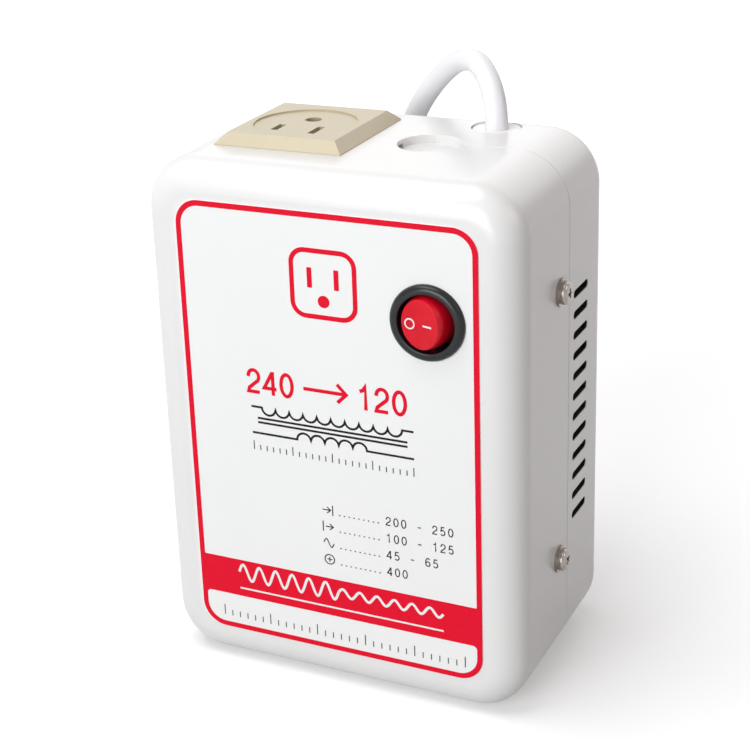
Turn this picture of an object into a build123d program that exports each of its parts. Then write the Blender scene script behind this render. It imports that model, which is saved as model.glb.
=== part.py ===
from build123d import *
import os
from math import cos, pi, radians, sin, sqrt, tan

os.makedirs("parts", exist_ok=True)

# Voltage converter. X runs to the right across the front, Y to the back, Z up.
# The origin is the middle of the base. Millimetres.

# Case
case_width = 120.0
case_depth = 75.5
case_height = 165.5
corner_radius = 16.5
front_edge_radius = 9.3
rear_edge_radius = 8.3
wall = 2.5
front_depth = 41.5
rim_round = 0.4
tongue_thickness = 1.1
tongue_length = 3.0
joint_clearance = 0.12
overrun = 1.0

# Label
label_side_margin = 11.8
label_end_margin = 11.65
label_radius = 7.8
label_rise = 0.25
label_thickness = 0.25

# Side screws
screw_setback = 8.05
screw_spacing = 86.8
screw_hole = 4.6
screw_shank = 3.8
screw_length = 8.0
screw_head = 7.0
screw_head_height = 2.2
screw_head_round = 1.2
washer_diameter = 8.6
washer_hole = 4.3
washer_thickness = 0.8
pilot_clearance = 0.1
ear_thickness = 3.0
ear_width = 12.0
ear_gap = 0.25
ear_root = 3.5

# Vents
vent_count = 12
vent_length = 13.0
vent_height = 2.6
vent_pitch = 6.62
vent_setback = 10.55
vent_rise = 1.75

# Blind round recess in the top
recess_x = 17.5
recess_y = 1.6
recess_diameter = 19.6
recess_depth = 2.5
recess_wall = 1.8

# Outlet
outlet_x = -22.8
outlet_y = 2.5
outlet_width = 42.0
outlet_length = 43.5
outlet_height = 3.5
outlet_bevel = 3.2
dish_diameter = 31.8
dish_depth = 0.5
dish_shift = -1.9
blade_spacing = 12.7
blade_line_shift = -7.5
short_slot = 6.5
long_slot = 8.1
slot_width = 2.2
earth_distance = 11.1
earth_hole = 5.0
earth_flat = 1.6
box_width = 35.0
box_length = 36.5
box_depth = 17.0
box_wall = 1.8
box_clearance = 0.3
snap_reach = 1.3
snap_height = 5.0
snap_length = 9.0
base_height = 19.0
base_clearance = 0.15
leaf_thickness = 0.6
leaf_height = 13.0
leaf_width = 6.0
blade_grip = 1.6
earth_grip = 4.8
chamber_clearance = 0.5
foot_thickness = 0.8
foot_length = 7.0
foot_width = 6.5
terminal_screw = 3.0
terminal_head = 5.4
terminal_head_height = 2.0
terminal_length = 7.0

# Switch
switch_inset = 15.4
switch_drop = 40.2
bezel_diameter = 22.9
bezel_height = 2.0
bezel_round = 1.7
mouth_round = 0.45
barrel_diameter = 19.8
barrel_depth = 17.0
panel_clearance = 0.15
mouth_diameter = 17.4
mouth_depth = 14.5
fin_reach = 0.9
fin_length = 4.0
fin_width = 5.0
pivot_depth = 3.1
rocker_tilt = 12.0
rocker_diameter = 14.8
rocker_height = 6.5
rocker_skirt = 2.5
rocker_face_diameter = 12.4
rocker_shoulder = 1.0
rocker_bulge = 0.3
rocker_hollow = 0.5
rocker_crest_round = 0.2
pocket_diameter = 12.0
pocket_roof = 2.0
trunnion_diameter = 2.4
trunnion_reach = 9.1
trunnion_play = 0.05
trunnion_end_play = 0.15
stem_diameter = 4.6
stem_length = 6.0
stem_bore = 2.7
stem_bore_top = 2.2
plunger_diameter = 2.5
plunger_tip = 8.5
plunger_length = 4.0
spring_diameter = 2.4
spring_wire = 0.4
spring_gap = 0.1
lamp_diameter = 2.6
lamp_length = 5.6
lamp_offset = 3.85
lamp_rise = 2.6
arm_depth = 11.65
arm_length = 11.0
arm_width = 4.0
arm_thickness = 0.5
arm_tilt = 6.0
contact_diameter = 2.4
contact_height = 0.6
contact_gap = 0.15
fulcrum_gap = 0.1
terminal_spacing = 5.0
terminal_thickness = 0.8
terminal_width = 4.8
terminal_reach = 26.0
fixed_contact_width = 3.0

# Transformer
limb_width = 14.3
window_width = 14.3
window_height = 43.0
coil_front_room = 7.35
coil_rear_room = 1.85
core_base_z = 10.0
post_diameter = 10.0
core_hole = 4.6
core_bolt = 4.0
core_bolt_head = 7.4
core_bolt_head_height = 2.8
core_bolt_grip = 9.0
bobbin_clearance = 0.25
bobbin_wall = 1.2
bobbin_flange = 1.5
bobbin_end_play = 0.3
bobbin_margin = 0.6
primary_build = 5.6
secondary_build = 4.2
tape_build = 0.4
winding_gap = 0.05
winding_round = 3.0
fuse_diameter = 3.6
fuse_length = 10.0
seat_gap = 0.3

# Cord and its bushing
cord_diameter = 7.0
cord_x = 29.5
cord_setback = 13.0
exit_recess_diameter = 15.6
exit_recess_depth = 1.8
exit_floor = 2.2
exit_boss = 19.0
bushing_hole = 12.2
bushing_flange = 15.0
bushing_flange_height = 1.4
bushing_neck = 12.0
bushing_clip = 13.4
bushing_clip_height = 2.0
bushing_tail = 9.4
bushing_tail_length = 7.0
bushing_play = 0.06
bushing_round = 0.5
inner_end_length = 20.0

# Coil of spare cord
coil_x = -24.0
coil_y = 115.0
coil_radius = 44.0
coil_pitch = 7.6
coil_layer_turns = 1.375
floor_gap = 0.05

# Plug
plug_neck_length = 20.0
plug_neck_start = 8.6
plug_neck_end = 12.6
plug_head_diameter = 37.0
plug_shoulder_diameter = 17.0
plug_thickness = 20.0
plug_round = 3.0
pin_width = 6.4
pin_thickness = 1.5
pin_length = 18.0
earth_pin_length = 21.0
pin_round = 0.5
line_pin_radius = 7.92
earth_pin_radius = 10.31
pin_angle = 30.0

# Leads inside the case
lead_diameter = 2.4
lead_circle = 1.9
cord_end_drop = 12.0
tab_end_run = 15.75
coil_end_rise = 16.0
foot_end_drop = 14.2
lead_stand = 6.75
lead_landing = 0.5
lead_sag_share = 0.25

# Derived places
front_y = -case_depth / 2
rear_y = case_depth / 2
seam_y = front_y + front_depth
rear_depth = case_depth - front_depth
middle_z = case_height / 2
side_x = case_width / 2
screw_y = seam_y - screw_setback
vent_y = seam_y + vent_setback
cord_y = rear_y - cord_setback
label_width = case_width - 2 * label_side_margin
label_height = case_height - 2 * label_end_margin
switch_x = label_width / 2 - switch_inset
switch_z = case_height - switch_drop
screw_zs = [middle_z - screw_spacing / 2, middle_z + screw_spacing / 2]
lap = tongue_thickness + joint_clearance


def upright(y):
    return Plane.XZ.offset(-y)


def level(z):
    return Plane.XY.offset(z)


def sideways(x):
    return Plane.YZ.offset(x)


def save(part, name):
    part.label = name
    export_step(part, "parts/" + name + ".step")


# Front shell: a deep tray with rounded corners, its rim rebated inside for the rear shell's tongue
with BuildPart() as front_shell:
    with BuildSketch(upright(seam_y)):
        with Locations((0, middle_z)):
            RectangleRounded(case_width, case_height, corner_radius)
    extrude(amount=front_depth)
    fillet(front_shell.faces().sort_by(Axis.Y)[0].edges(), radius=front_edge_radius)
    offset(amount=-wall, openings=front_shell.faces().sort_by(Axis.Y)[-1])
    fillet(front_shell.faces().sort_by(Axis.Y)[-1].outer_wire().edges(), radius=rim_round)
    with BuildSketch(upright(seam_y)):
        with Locations((0, middle_z)):
            RectangleRounded(
                case_width - 2 * (wall - lap),
                case_height - 2 * (wall - lap),
                corner_radius - wall + lap,
            )
    extrude(amount=tongue_length + joint_clearance, mode=Mode.SUBTRACT)
    # Floor of the blind recess, half on each shell
    with BuildSketch(level(case_height - recess_depth)):
        with Locations((recess_x, recess_y)):
            Circle(recess_diameter / 2 + recess_wall)
    extrude(amount=-recess_wall)
    with BuildSketch(level(case_height - recess_depth)):
        with Locations((recess_x, recess_y)):
            Circle(recess_diameter / 2)
    extrude(amount=recess_depth + overrun, mode=Mode.SUBTRACT)
    split(bisect_by=upright(seam_y), keep=Keep.TOP)
    # Opening for the outlet's box
    with BuildSketch(level(case_height + overrun)):
        with Locations((outlet_x, outlet_y)):
            Rectangle(box_width + 2 * box_clearance, box_length + 2 * box_clearance)
    extrude(amount=-(wall + 2 * overrun), mode=Mode.SUBTRACT)
    # Switch hole in the front wall
    with BuildSketch(upright(front_y - overrun)):
        with Locations((switch_x, switch_z)):
            Circle(barrel_diameter / 2 + panel_clearance)
    extrude(amount=-(wall + 2 * overrun), mode=Mode.SUBTRACT)
    # Screw holes through both sides
    with BuildSketch(sideways(side_x + overrun)):
        with Locations(*[(screw_y, z) for z in screw_zs]):
            Circle(screw_hole / 2)
    extrude(amount=-(case_width + 2 * overrun), mode=Mode.SUBTRACT)

# Rear shell: the other tray, with the tongue, vents, screw ears, cord exit and posts for the core
tube_growth = bobbin_clearance + bobbin_wall
primary_growth = tube_growth + primary_build
secondary_growth = primary_growth + secondary_build
tape_growth = secondary_growth + tape_build
stack_depth = case_depth - 2 * (wall + tape_growth) - coil_front_room - coil_rear_room
post_length = tape_growth + coil_rear_room
core_width = 4 * limb_width + 2 * window_width
core_height = window_height + 2 * limb_width
post_end_y = rear_y - wall - post_length
core_y = post_end_y - stack_depth / 2
bolt_x = core_width / 2 - limb_width / 2
bolt_zs = [core_base_z + limb_width / 2, core_base_z + core_height - limb_width / 2]
bolt_places = [(side * bolt_x, z) for z in bolt_zs for side in (-1, 1)]
exit_floor_z = case_height - exit_recess_depth - exit_floor
vent_top_z = middle_z + vent_rise + vent_pitch * (vent_count - 1) / 2
with BuildPart() as rear_shell:
    with BuildSketch(upright(seam_y)):
        with Locations((0, middle_z)):
            RectangleRounded(case_width, case_height, corner_radius)
    extrude(amount=-rear_depth)
    fillet(rear_shell.faces().sort_by(Axis.Y)[-1].edges(), radius=rear_edge_radius)
    offset(amount=-wall, openings=rear_shell.faces().sort_by(Axis.Y)[0])
    fillet(rear_shell.faces().sort_by(Axis.Y)[0].outer_wire().edges(), radius=rim_round)
    with BuildSketch(level(case_height - recess_depth)):
        with Locations((recess_x, recess_y)):
            Circle(recess_diameter / 2 + recess_wall)
    extrude(amount=-recess_wall)
    with BuildSketch(level(case_height - recess_depth)):
        with Locations((recess_x, recess_y)):
            Circle(recess_diameter / 2)
    extrude(amount=recess_depth + overrun, mode=Mode.SUBTRACT)
    # Thickened floor under the cord's recess, then the recess and the bushing's hole
    with BuildSketch(level(exit_floor_z)):
        with Locations((cord_x, cord_y)):
            Circle(exit_boss / 2)
    extrude(amount=exit_floor)
    with BuildSketch(level(case_height - exit_recess_depth)):
        with Locations((cord_x, cord_y)):
            Circle(exit_recess_diameter / 2)
    extrude(amount=exit_recess_depth + overrun, mode=Mode.SUBTRACT)
    with BuildSketch(level(exit_floor_z - overrun)):
        with Locations((cord_x, cord_y)):
            Circle(bushing_hole / 2)
    extrude(amount=exit_floor + 2 * overrun, mode=Mode.SUBTRACT)
    split(bisect_by=upright(seam_y), keep=Keep.BOTTOM)
    # Tongue around the rim, cut away where the front shell's recess floor passes
    with BuildSketch(upright(seam_y)):
        with Locations((0, middle_z)):
            RectangleRounded(
                case_width - 2 * (wall - tongue_thickness),
                case_height - 2 * (wall - tongue_thickness),
                corner_radius - wall + tongue_thickness,
            )
            RectangleRounded(
                case_width - 2 * wall,
                case_height - 2 * wall,
                corner_radius - wall,
                mode=Mode.SUBTRACT,
            )
    extrude(amount=tongue_length)
    with BuildSketch(level(case_height - recess_depth - recess_wall - overrun)):
        with Locations((recess_x, seam_y - tongue_length)):
            Rectangle(
                recess_diameter + 2 * recess_wall + 2 * joint_clearance,
                2 * tongue_length,
            )
    extrude(amount=recess_depth + recess_wall + overrun - wall + tongue_thickness + joint_clearance,
            mode=Mode.SUBTRACT)
    with BuildSketch(level(case_height + overrun)):
        with Locations((outlet_x, outlet_y)):
            Rectangle(box_width + 2 * box_clearance, box_length + 2 * box_clearance)
    extrude(amount=-(wall + 2 * overrun), mode=Mode.SUBTRACT)
    # Vents through both sides
    with BuildSketch(sideways(side_x + overrun)):
        with Locations(*[(vent_y, vent_top_z - vent_pitch * i) for i in range(vent_count)]):
            SlotOverall(vent_length, vent_height)
    extrude(amount=-(case_width + 2 * overrun), mode=Mode.SUBTRACT)
    # Ears that reach forward behind the front shell's sides and take the screws
    ear_front_y = screw_y - ear_width / 2
    ear_length = seam_y + ear_root - ear_front_y
    for side in (-1, 1):
        with BuildSketch(sideways(side * (side_x - wall - ear_gap))):
            with Locations(*[(ear_front_y + ear_length / 2, z) for z in screw_zs]):
                Rectangle(ear_length, ear_width)
        extrude(amount=-side * ear_thickness)
        with BuildSketch(sideways(side * (side_x - wall - ear_gap))):
            with Locations(*[(seam_y + ear_root / 2, z) for z in screw_zs]):
                Rectangle(ear_root, ear_width)
        extrude(amount=side * (ear_gap + wall / 2))
    with BuildSketch(sideways(side_x)):
        with Locations(*[(screw_y, z) for z in screw_zs]):
            Circle(screw_shank / 2 + pilot_clearance)
    extrude(amount=-case_width, mode=Mode.SUBTRACT)
    # Posts that the core stands off on
    with BuildSketch(upright(rear_y - wall / 2)):
        with Locations(*bolt_places):
            Circle(post_diameter / 2)
    extrude(amount=post_length + wall / 2)
    with BuildSketch(upright(post_end_y)):
        with Locations(*bolt_places):
            Circle(core_bolt / 2 + pilot_clearance)
    extrude(amount=-(core_bolt_grip + overrun), mode=Mode.SUBTRACT)

# Label: a thin sheet on the front wall with a hole for the switch
with BuildPart() as front_label:
    with BuildSketch(upright(front_y)):
        with Locations((0, middle_z + label_rise)):
            RectangleRounded(label_width, label_height, label_radius)
        with Locations((switch_x, switch_z)):
            Circle(barrel_diameter / 2 + panel_clearance, mode=Mode.SUBTRACT)
    extrude(amount=label_thickness)

# Side screws and their washers, four of each
screw_places = [(side, z) for side in (-1, 1) for z in screw_zs]
with BuildPart() as side_washers:
    for side, z in screw_places:
        with BuildSketch(sideways(side * side_x)):
            with Locations((screw_y, z)):
                Circle(washer_diameter / 2)
                Circle(washer_hole / 2, mode=Mode.SUBTRACT)
        extrude(amount=side * washer_thickness)
with BuildPart() as side_screws:
    for side, z in screw_places:
        with BuildSketch(sideways(side * (side_x + washer_thickness))):
            with Locations((screw_y, z)):
                Circle(screw_head / 2)
        extrude(amount=side * screw_head_height)
        with BuildSketch(sideways(side * (side_x + washer_thickness))):
            with Locations((screw_y, z)):
                Circle(screw_shank / 2)
        extrude(amount=-side * screw_length)
    fillet(
        side_screws.faces().filter_by(Axis.X).group_by(Axis.X)[0].edges()
        + side_screws.faces().filter_by(Axis.X).group_by(Axis.X)[-1].edges(),
        radius=screw_head_round,
    )

# Outlet face: a bevelled plate with a shallow dish and a box below it that snaps into the case
blade_y = outlet_y + blade_line_shift
earth_y = blade_y + earth_distance
live_x = outlet_x - blade_spacing / 2
neutral_x = outlet_x + blade_spacing / 2
with BuildPart() as outlet_face:
    with BuildSketch(level(case_height)):
        with Locations((outlet_x, outlet_y)):
            Rectangle(outlet_width, outlet_length)
    extrude(amount=outlet_height)
    chamfer(outlet_face.faces().sort_by(Axis.Z)[-1].edges(), length=outlet_bevel)
    with BuildSketch(level(case_height)):
        with Locations((outlet_x, outlet_y)):
            Rectangle(box_width, box_length)
            Rectangle(box_width - 2 * box_wall, box_length - 2 * box_wall, mode=Mode.SUBTRACT)
    extrude(amount=-box_depth)
    with BuildSketch(level(case_height + outlet_height)):
        with Locations((outlet_x, outlet_y + dish_shift)):
            Circle(dish_diameter / 2)
    extrude(amount=-dish_depth, mode=Mode.SUBTRACT)
    with BuildSketch(level(case_height + outlet_height)):
        with Locations((live_x, blade_y)):
            Rectangle(slot_width, short_slot)
        with Locations((neutral_x, blade_y)):
            Rectangle(slot_width, long_slot)
        with Locations((outlet_x, earth_y)):
            Circle(earth_hole / 2)
        with Locations((outlet_x, earth_y - earth_flat / 2)):
            Rectangle(earth_hole, earth_flat)
    extrude(amount=-(outlet_height + overrun), mode=Mode.SUBTRACT)
    # Wedges that catch under the case's top wall
    wedge_top_z = case_height - wall - joint_clearance
    for side in (-1, 1):
        with BuildSketch(upright(outlet_y + snap_length / 2)):
            with BuildLine():
                Polyline(
                    (outlet_x + side * (box_width / 2 - box_wall / 2), wedge_top_z),
                    (outlet_x + side * (box_width / 2 + snap_reach), wedge_top_z),
                    (outlet_x + side * (box_width / 2 - box_wall / 2), wedge_top_z - snap_height),
                    close=True,
                )
            make_face()
        extrude(amount=snap_length)

# Outlet base: the insulating insert with a chamber for each contact
base_bottom_z = case_height - base_height
contacts = [
    ("live_contact", live_x, blade_y, blade_grip, -1),
    ("neutral_contact", neutral_x, blade_y, blade_grip, -1),
    ("earth_contact", outlet_x, earth_y, earth_grip, 1),
]
with BuildPart() as outlet_base:
    with BuildSketch(level(base_bottom_z)):
        with Locations((outlet_x, outlet_y)):
            Rectangle(
                box_width - 2 * (box_wall + base_clearance),
                box_length - 2 * (box_wall + base_clearance),
            )
    extrude(amount=base_height - base_clearance)
    with BuildSketch(level(base_bottom_z)):
        for name, x, y, grip, way in contacts:
            with Locations((x, y)):
                Rectangle(
                    grip + 2 * leaf_thickness + 2 * chamber_clearance,
                    leaf_width + 2 * chamber_clearance,
                )
    extrude(amount=base_height, mode=Mode.SUBTRACT)
    with BuildSketch(level(base_bottom_z)):
        for name, x, y, grip, way in contacts:
            with Locations((x, y + way * (leaf_width + foot_length) / 2)):
                Circle(terminal_screw / 2 + pilot_clearance)
    extrude(amount=terminal_length, mode=Mode.SUBTRACT)

# Sprung contacts: two leaves in the chamber on a foot that lies against the base
for name, x, y, grip, way in contacts:
    with BuildPart() as contact:
        with BuildSketch(upright(y + leaf_width / 2)):
            with Locations((x, base_bottom_z - foot_thickness)):
                Rectangle(grip + 2 * leaf_thickness, leaf_height, align=(Align.CENTER, Align.MIN))
            with Locations((x, base_bottom_z)):
                Rectangle(grip, leaf_height, align=(Align.CENTER, Align.MIN), mode=Mode.SUBTRACT)
        extrude(amount=leaf_width)
        with BuildSketch(level(base_bottom_z)):
            with Locations((x, y + way * foot_length / 2)):
                Rectangle(foot_width, leaf_width + foot_length)
            with Locations((x, y + way * (leaf_width + foot_length) / 2)):
                Circle(terminal_screw / 2 + pilot_clearance, mode=Mode.SUBTRACT)
        extrude(amount=-foot_thickness)
    save(contact.part, name)

with BuildPart() as outlet_terminal_screws:
    with BuildSketch(level(base_bottom_z - foot_thickness)):
        for name, x, y, grip, way in contacts:
            with Locations((x, y + way * (leaf_width + foot_length) / 2)):
                Circle(terminal_head / 2)
    extrude(amount=-terminal_head_height)
    with BuildSketch(level(base_bottom_z - foot_thickness)):
        for name, x, y, grip, way in contacts:
            with Locations((x, y + way * (leaf_width + foot_length) / 2)):
                Circle(terminal_screw / 2)
    extrude(amount=terminal_length - overrun)

# Switch housing: a round bezel on a barrel, open at the mouth, with fins that grip the panel
bezel_back_y = front_y - label_thickness
pivot_y = front_y + pivot_depth
with BuildPart() as switch_housing:
    with BuildSketch(upright(bezel_back_y)):
        with Locations((switch_x, switch_z)):
            Circle(bezel_diameter / 2)
    extrude(amount=bezel_height)
    fillet(switch_housing.faces().sort_by(Axis.Y)[0].edges(), radius=bezel_round)
    with BuildSketch(upright(bezel_back_y)):
        with Locations((switch_x, switch_z)):
            Circle(barrel_diameter / 2)
    extrude(amount=-(barrel_depth + label_thickness))
    fin_front_y = front_y + wall + joint_clearance
    with BuildSketch(upright(fin_front_y)):
        with Locations((switch_x, switch_z)):
            Rectangle(barrel_diameter + 2 * fin_reach, fin_width)
    extrude(amount=-fin_length)
    with BuildSketch(upright(bezel_back_y - bezel_height)):
        with Locations((switch_x, switch_z)):
            Circle(mouth_diameter / 2)
    extrude(amount=-(bezel_height + label_thickness + mouth_depth), mode=Mode.SUBTRACT)
    bezel_front = switch_housing.faces().filter_by(Axis.Y).sort_by(Axis.Y)[0]
    fillet(bezel_front.inner_wires()[0].edges(), radius=mouth_round)
    # Bearing for the rocker's trunnions
    with BuildSketch(level(switch_z - trunnion_reach - trunnion_end_play)):
        with Locations((switch_x, pivot_y)):
            Circle(trunnion_diameter / 2 + trunnion_play)
    extrude(amount=2 * (trunnion_reach + trunnion_end_play), mode=Mode.SUBTRACT)
    # Slots for the three tabs
    with BuildSketch(upright(front_y + mouth_depth - overrun)):
        with Locations(*[(switch_x + i * terminal_spacing, switch_z) for i in (-1, 0, 1)]):
            Rectangle(terminal_thickness, terminal_width)
    extrude(amount=-(barrel_depth - mouth_depth + 2 * overrun), mode=Mode.SUBTRACT)

# Rocker, drawn square to its own face and tipped to its rest position about the pivot
tilt = radians(-rocker_tilt)
rocker_plane = Plane(
    origin=(switch_x, pivot_y, switch_z),
    x_dir=(cos(tilt), sin(tilt), 0),
    z_dir=(sin(tilt), -cos(tilt), 0),
)
rocker_section = Plane(
    origin=(switch_x, pivot_y, switch_z),
    x_dir=(cos(tilt), sin(tilt), 0),
    z_dir=(0, 0, -1),
)
with BuildPart() as switch_rocker:
    with BuildSketch(rocker_section):
        with BuildLine():
            Polyline(
                (0, rocker_height),
                (0, -rocker_skirt),
                (rocker_diameter / 2, -rocker_skirt),
                (rocker_diameter / 2, rocker_shoulder),
            )
            side_mid = (
                (rocker_diameter + rocker_face_diameter) / 4 + rocker_bulge,
                (rocker_shoulder + rocker_height) / 2,
            )
            ThreePointArc(
                (rocker_diameter / 2, rocker_shoulder), side_mid, (rocker_face_diameter / 2, rocker_height)
            )
            Line((rocker_face_diameter / 2, rocker_height), (0, rocker_height))
        make_face()
    revolve(axis=Axis(rocker_plane.origin, rocker_plane.z_dir))
    # Hollow across the face, so that a finger finds its place
    with BuildSketch(rocker_section.offset(-rocker_diameter / 2)):
        with BuildLine():
            ThreePointArc(
                (rocker_face_diameter / 2, rocker_height),
                (0, rocker_height - rocker_hollow),
                (-rocker_face_diameter / 2, rocker_height),
            )
            Polyline(
                (-rocker_face_diameter / 2, rocker_height),
                (-rocker_face_diameter / 2, rocker_height + overrun),
                (rocker_face_diameter / 2, rocker_height + overrun),
                (rocker_face_diameter / 2, rocker_height),
            )
        make_face()
    extrude(amount=rocker_diameter, mode=Mode.SUBTRACT)
    hollow_face = switch_rocker.faces().sort_by(Axis(rocker_plane.origin, rocker_plane.z_dir))[-1]
    fillet(hollow_face.outer_wire().edges(), radius=rocker_crest_round)
    with BuildSketch(rocker_plane.offset(-rocker_skirt)):
        Circle(pocket_diameter / 2)
    extrude(amount=rocker_skirt + rocker_height - pocket_roof, mode=Mode.SUBTRACT)
    # Stem for the spring and plunger
    with BuildSketch(rocker_plane.offset(-stem_length)):
        Circle(stem_diameter / 2)
    extrude(amount=stem_length + rocker_height - pocket_roof + rocker_hollow)
    with BuildSketch(rocker_plane.offset(-stem_length)):
        Circle(stem_bore / 2)
    extrude(amount=stem_length + stem_bore_top, mode=Mode.SUBTRACT)
    # Trunnions
    with BuildSketch(rocker_section.offset(-trunnion_reach)):
        Circle(trunnion_diameter / 2)
    extrude(amount=trunnion_reach - (pocket_diameter + rocker_diameter) / 4)
    with BuildSketch(rocker_section.offset(trunnion_reach)):
        Circle(trunnion_diameter / 2)
    extrude(amount=-(trunnion_reach - (pocket_diameter + rocker_diameter) / 4))

with BuildPart() as rocker_plunger:
    with BuildSketch(rocker_plane.offset(-plunger_tip + plunger_diameter / 2)):
        Circle(plunger_diameter / 2)
    extrude(amount=plunger_length - plunger_diameter / 2)
    with Locations(rocker_plane.offset(-plunger_tip + plunger_diameter / 2)):
        Sphere(plunger_diameter / 2)

spring_bottom = -plunger_tip + plunger_length + spring_gap
with BuildPart() as rocker_spring:
    with BuildSketch(rocker_plane.offset(spring_bottom)):
        Circle(spring_diameter / 2)
        Circle(spring_diameter / 2 - spring_wire, mode=Mode.SUBTRACT)
    extrude(amount=stem_bore_top - spring_gap - spring_bottom)

with BuildPart() as neon_lamp:
    with BuildSketch(rocker_section.offset(-lamp_length / 2)):
        with Locations((lamp_offset, lamp_rise)):
            Circle(lamp_diameter / 2)
    extrude(amount=lamp_length)

# Contact arm: a see-saw strip on the middle tab's round nose, tipped the other way from the rocker
arm_lean = radians(arm_tilt)
fulcrum_y = front_y + arm_depth + arm_thickness
nose_radius = terminal_thickness / 2
nose_y = fulcrum_y + fulcrum_gap + nose_radius
arm_reach = nose_radius + fulcrum_gap
arm_plane = Plane(
    origin=(switch_x + arm_reach * sin(arm_lean), nose_y - arm_reach * cos(arm_lean), switch_z),
    x_dir=(cos(arm_lean), sin(arm_lean), 0),
    z_dir=(sin(arm_lean), -cos(arm_lean), 0),
)
contact_place = (-(arm_length - contact_diameter) / 2, 0)
with BuildPart() as contact_arm:
    with BuildSketch(arm_plane):
        Rectangle(arm_length, arm_width)
    extrude(amount=arm_thickness)
    with BuildSketch(arm_plane):
        with Locations(contact_place):
            Circle(contact_diameter / 2)
    extrude(amount=-contact_height)

# Tabs of the switch
contact_top_y = (
    fulcrum_y + contact_height + sin(arm_lean) * (arm_length - contact_diameter / 2) / 2 + contact_gap
)
tab_end_y = front_y + terminal_reach
with BuildPart() as common_terminal:
    with BuildSketch(upright(nose_y)):
        with Locations((switch_x, switch_z)):
            Rectangle(terminal_thickness, arm_width)
    extrude(amount=-(tab_end_y - nose_y))
    with BuildSketch(level(switch_z - arm_width / 2)):
        with Locations((switch_x, nose_y)):
            Circle(nose_radius)
    extrude(amount=arm_width)
with BuildPart() as load_terminal:
    with BuildSketch(upright(contact_top_y)):
        with Locations((switch_x - terminal_spacing, switch_z)):
            Rectangle(fixed_contact_width, arm_width)
    extrude(amount=-(front_y + mouth_depth - contact_top_y))
    with BuildSketch(upright(front_y + mouth_depth)):
        with Locations((switch_x - terminal_spacing, switch_z)):
            Rectangle(terminal_thickness, arm_width)
    extrude(amount=-(terminal_reach - mouth_depth))
with BuildPart() as lamp_terminal:
    with BuildSketch(upright(contact_top_y)):
        with Locations((switch_x + terminal_spacing, switch_z)):
            Rectangle(terminal_thickness, arm_width)
    extrude(amount=-(tab_end_y - contact_top_y))

# Core: E laminations with their legs up and I laminations across the top
core_bottom = (0, core_base_z)
window_shift = limb_width + window_width / 2
with BuildPart() as core_e_stack:
    with BuildSketch(upright(post_end_y)):
        with Locations(core_bottom):
            Rectangle(core_width, limb_width + window_height, align=(Align.CENTER, Align.MIN))
        with Locations(*[(side * window_shift, core_base_z + limb_width) for side in (-1, 1)]):
            Rectangle(
                window_width, window_height, align=(Align.CENTER, Align.MIN), mode=Mode.SUBTRACT
            )
        with Locations(*bolt_places[:2]):
            Circle(core_hole / 2, mode=Mode.SUBTRACT)
    extrude(amount=stack_depth)
with BuildPart() as core_i_stack:
    with BuildSketch(upright(post_end_y)):
        with Locations((0, core_base_z + limb_width + window_height)):
            Rectangle(core_width, limb_width, align=(Align.CENTER, Align.MIN))
        with Locations(*bolt_places[2:]):
            Circle(core_hole / 2, mode=Mode.SUBTRACT)
    extrude(amount=stack_depth)
with BuildPart() as core_bolts:
    with BuildSketch(upright(post_end_y - stack_depth)):
        with Locations(*bolt_places):
            RegularPolygon(core_bolt_head / 2, 6)
    extrude(amount=core_bolt_head_height)
    with BuildSketch(upright(post_end_y - stack_depth)):
        with Locations(*bolt_places):
            Circle(core_bolt / 2)
    extrude(amount=-(stack_depth + core_bolt_grip))

# Coil of the transformer: bobbin, two windings and the tape, each a sleeve around the last
tongue_width = 2 * limb_width
coil_bottom_z = core_base_z + limb_width + bobbin_end_play
coil_height = window_height - 2 * bobbin_end_play


def sleeve_size(growth):
    return tongue_width + 2 * growth, stack_depth + 2 * growth


with BuildPart() as bobbin:
    with BuildSketch(level(coil_bottom_z)):
        with Locations((0, core_y)):
            Rectangle(*sleeve_size(tube_growth))
    extrude(amount=coil_height)
    with BuildSketch(level(coil_bottom_z), level(coil_bottom_z + coil_height - bobbin_flange)):
        with Locations((0, core_y)):
            RectangleRounded(*sleeve_size(tape_growth + bobbin_margin), winding_round)
    extrude(amount=bobbin_flange)
    with BuildSketch(level(coil_bottom_z - overrun)):
        with Locations((0, core_y)):
            Rectangle(*sleeve_size(bobbin_clearance))
    extrude(amount=coil_height + 2 * overrun, mode=Mode.SUBTRACT)

sleeves = [
    ("primary_winding", tube_growth, primary_growth),
    ("secondary_winding", primary_growth, secondary_growth),
    ("winding_tape", secondary_growth, tape_growth),
]
sleeve_bottom_z = coil_bottom_z + bobbin_flange + winding_gap
for name, inner_growth, outer_growth in sleeves:
    with BuildPart() as sleeve:
        with BuildSketch(level(sleeve_bottom_z)):
            with Locations((0, core_y)):
                RectangleRounded(*sleeve_size(outer_growth), winding_round)
                if inner_growth > tube_growth:
                    RectangleRounded(
                        *sleeve_size(inner_growth + winding_gap), winding_round, mode=Mode.SUBTRACT
                    )
                else:
                    Rectangle(*sleeve_size(inner_growth + winding_gap), mode=Mode.SUBTRACT)
        extrude(amount=coil_height - 2 * (bobbin_flange + winding_gap))
    save(sleeve.part, name)

fuse_y = core_y - stack_depth / 2 - tape_growth - seat_gap - fuse_diameter / 2
with BuildPart() as thermal_fuse:
    with BuildSketch(sideways(-fuse_length / 2)):
        with Locations((fuse_y, coil_bottom_z + coil_height / 2)):
            Circle(fuse_diameter / 2)
    extrude(amount=fuse_length)

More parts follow.
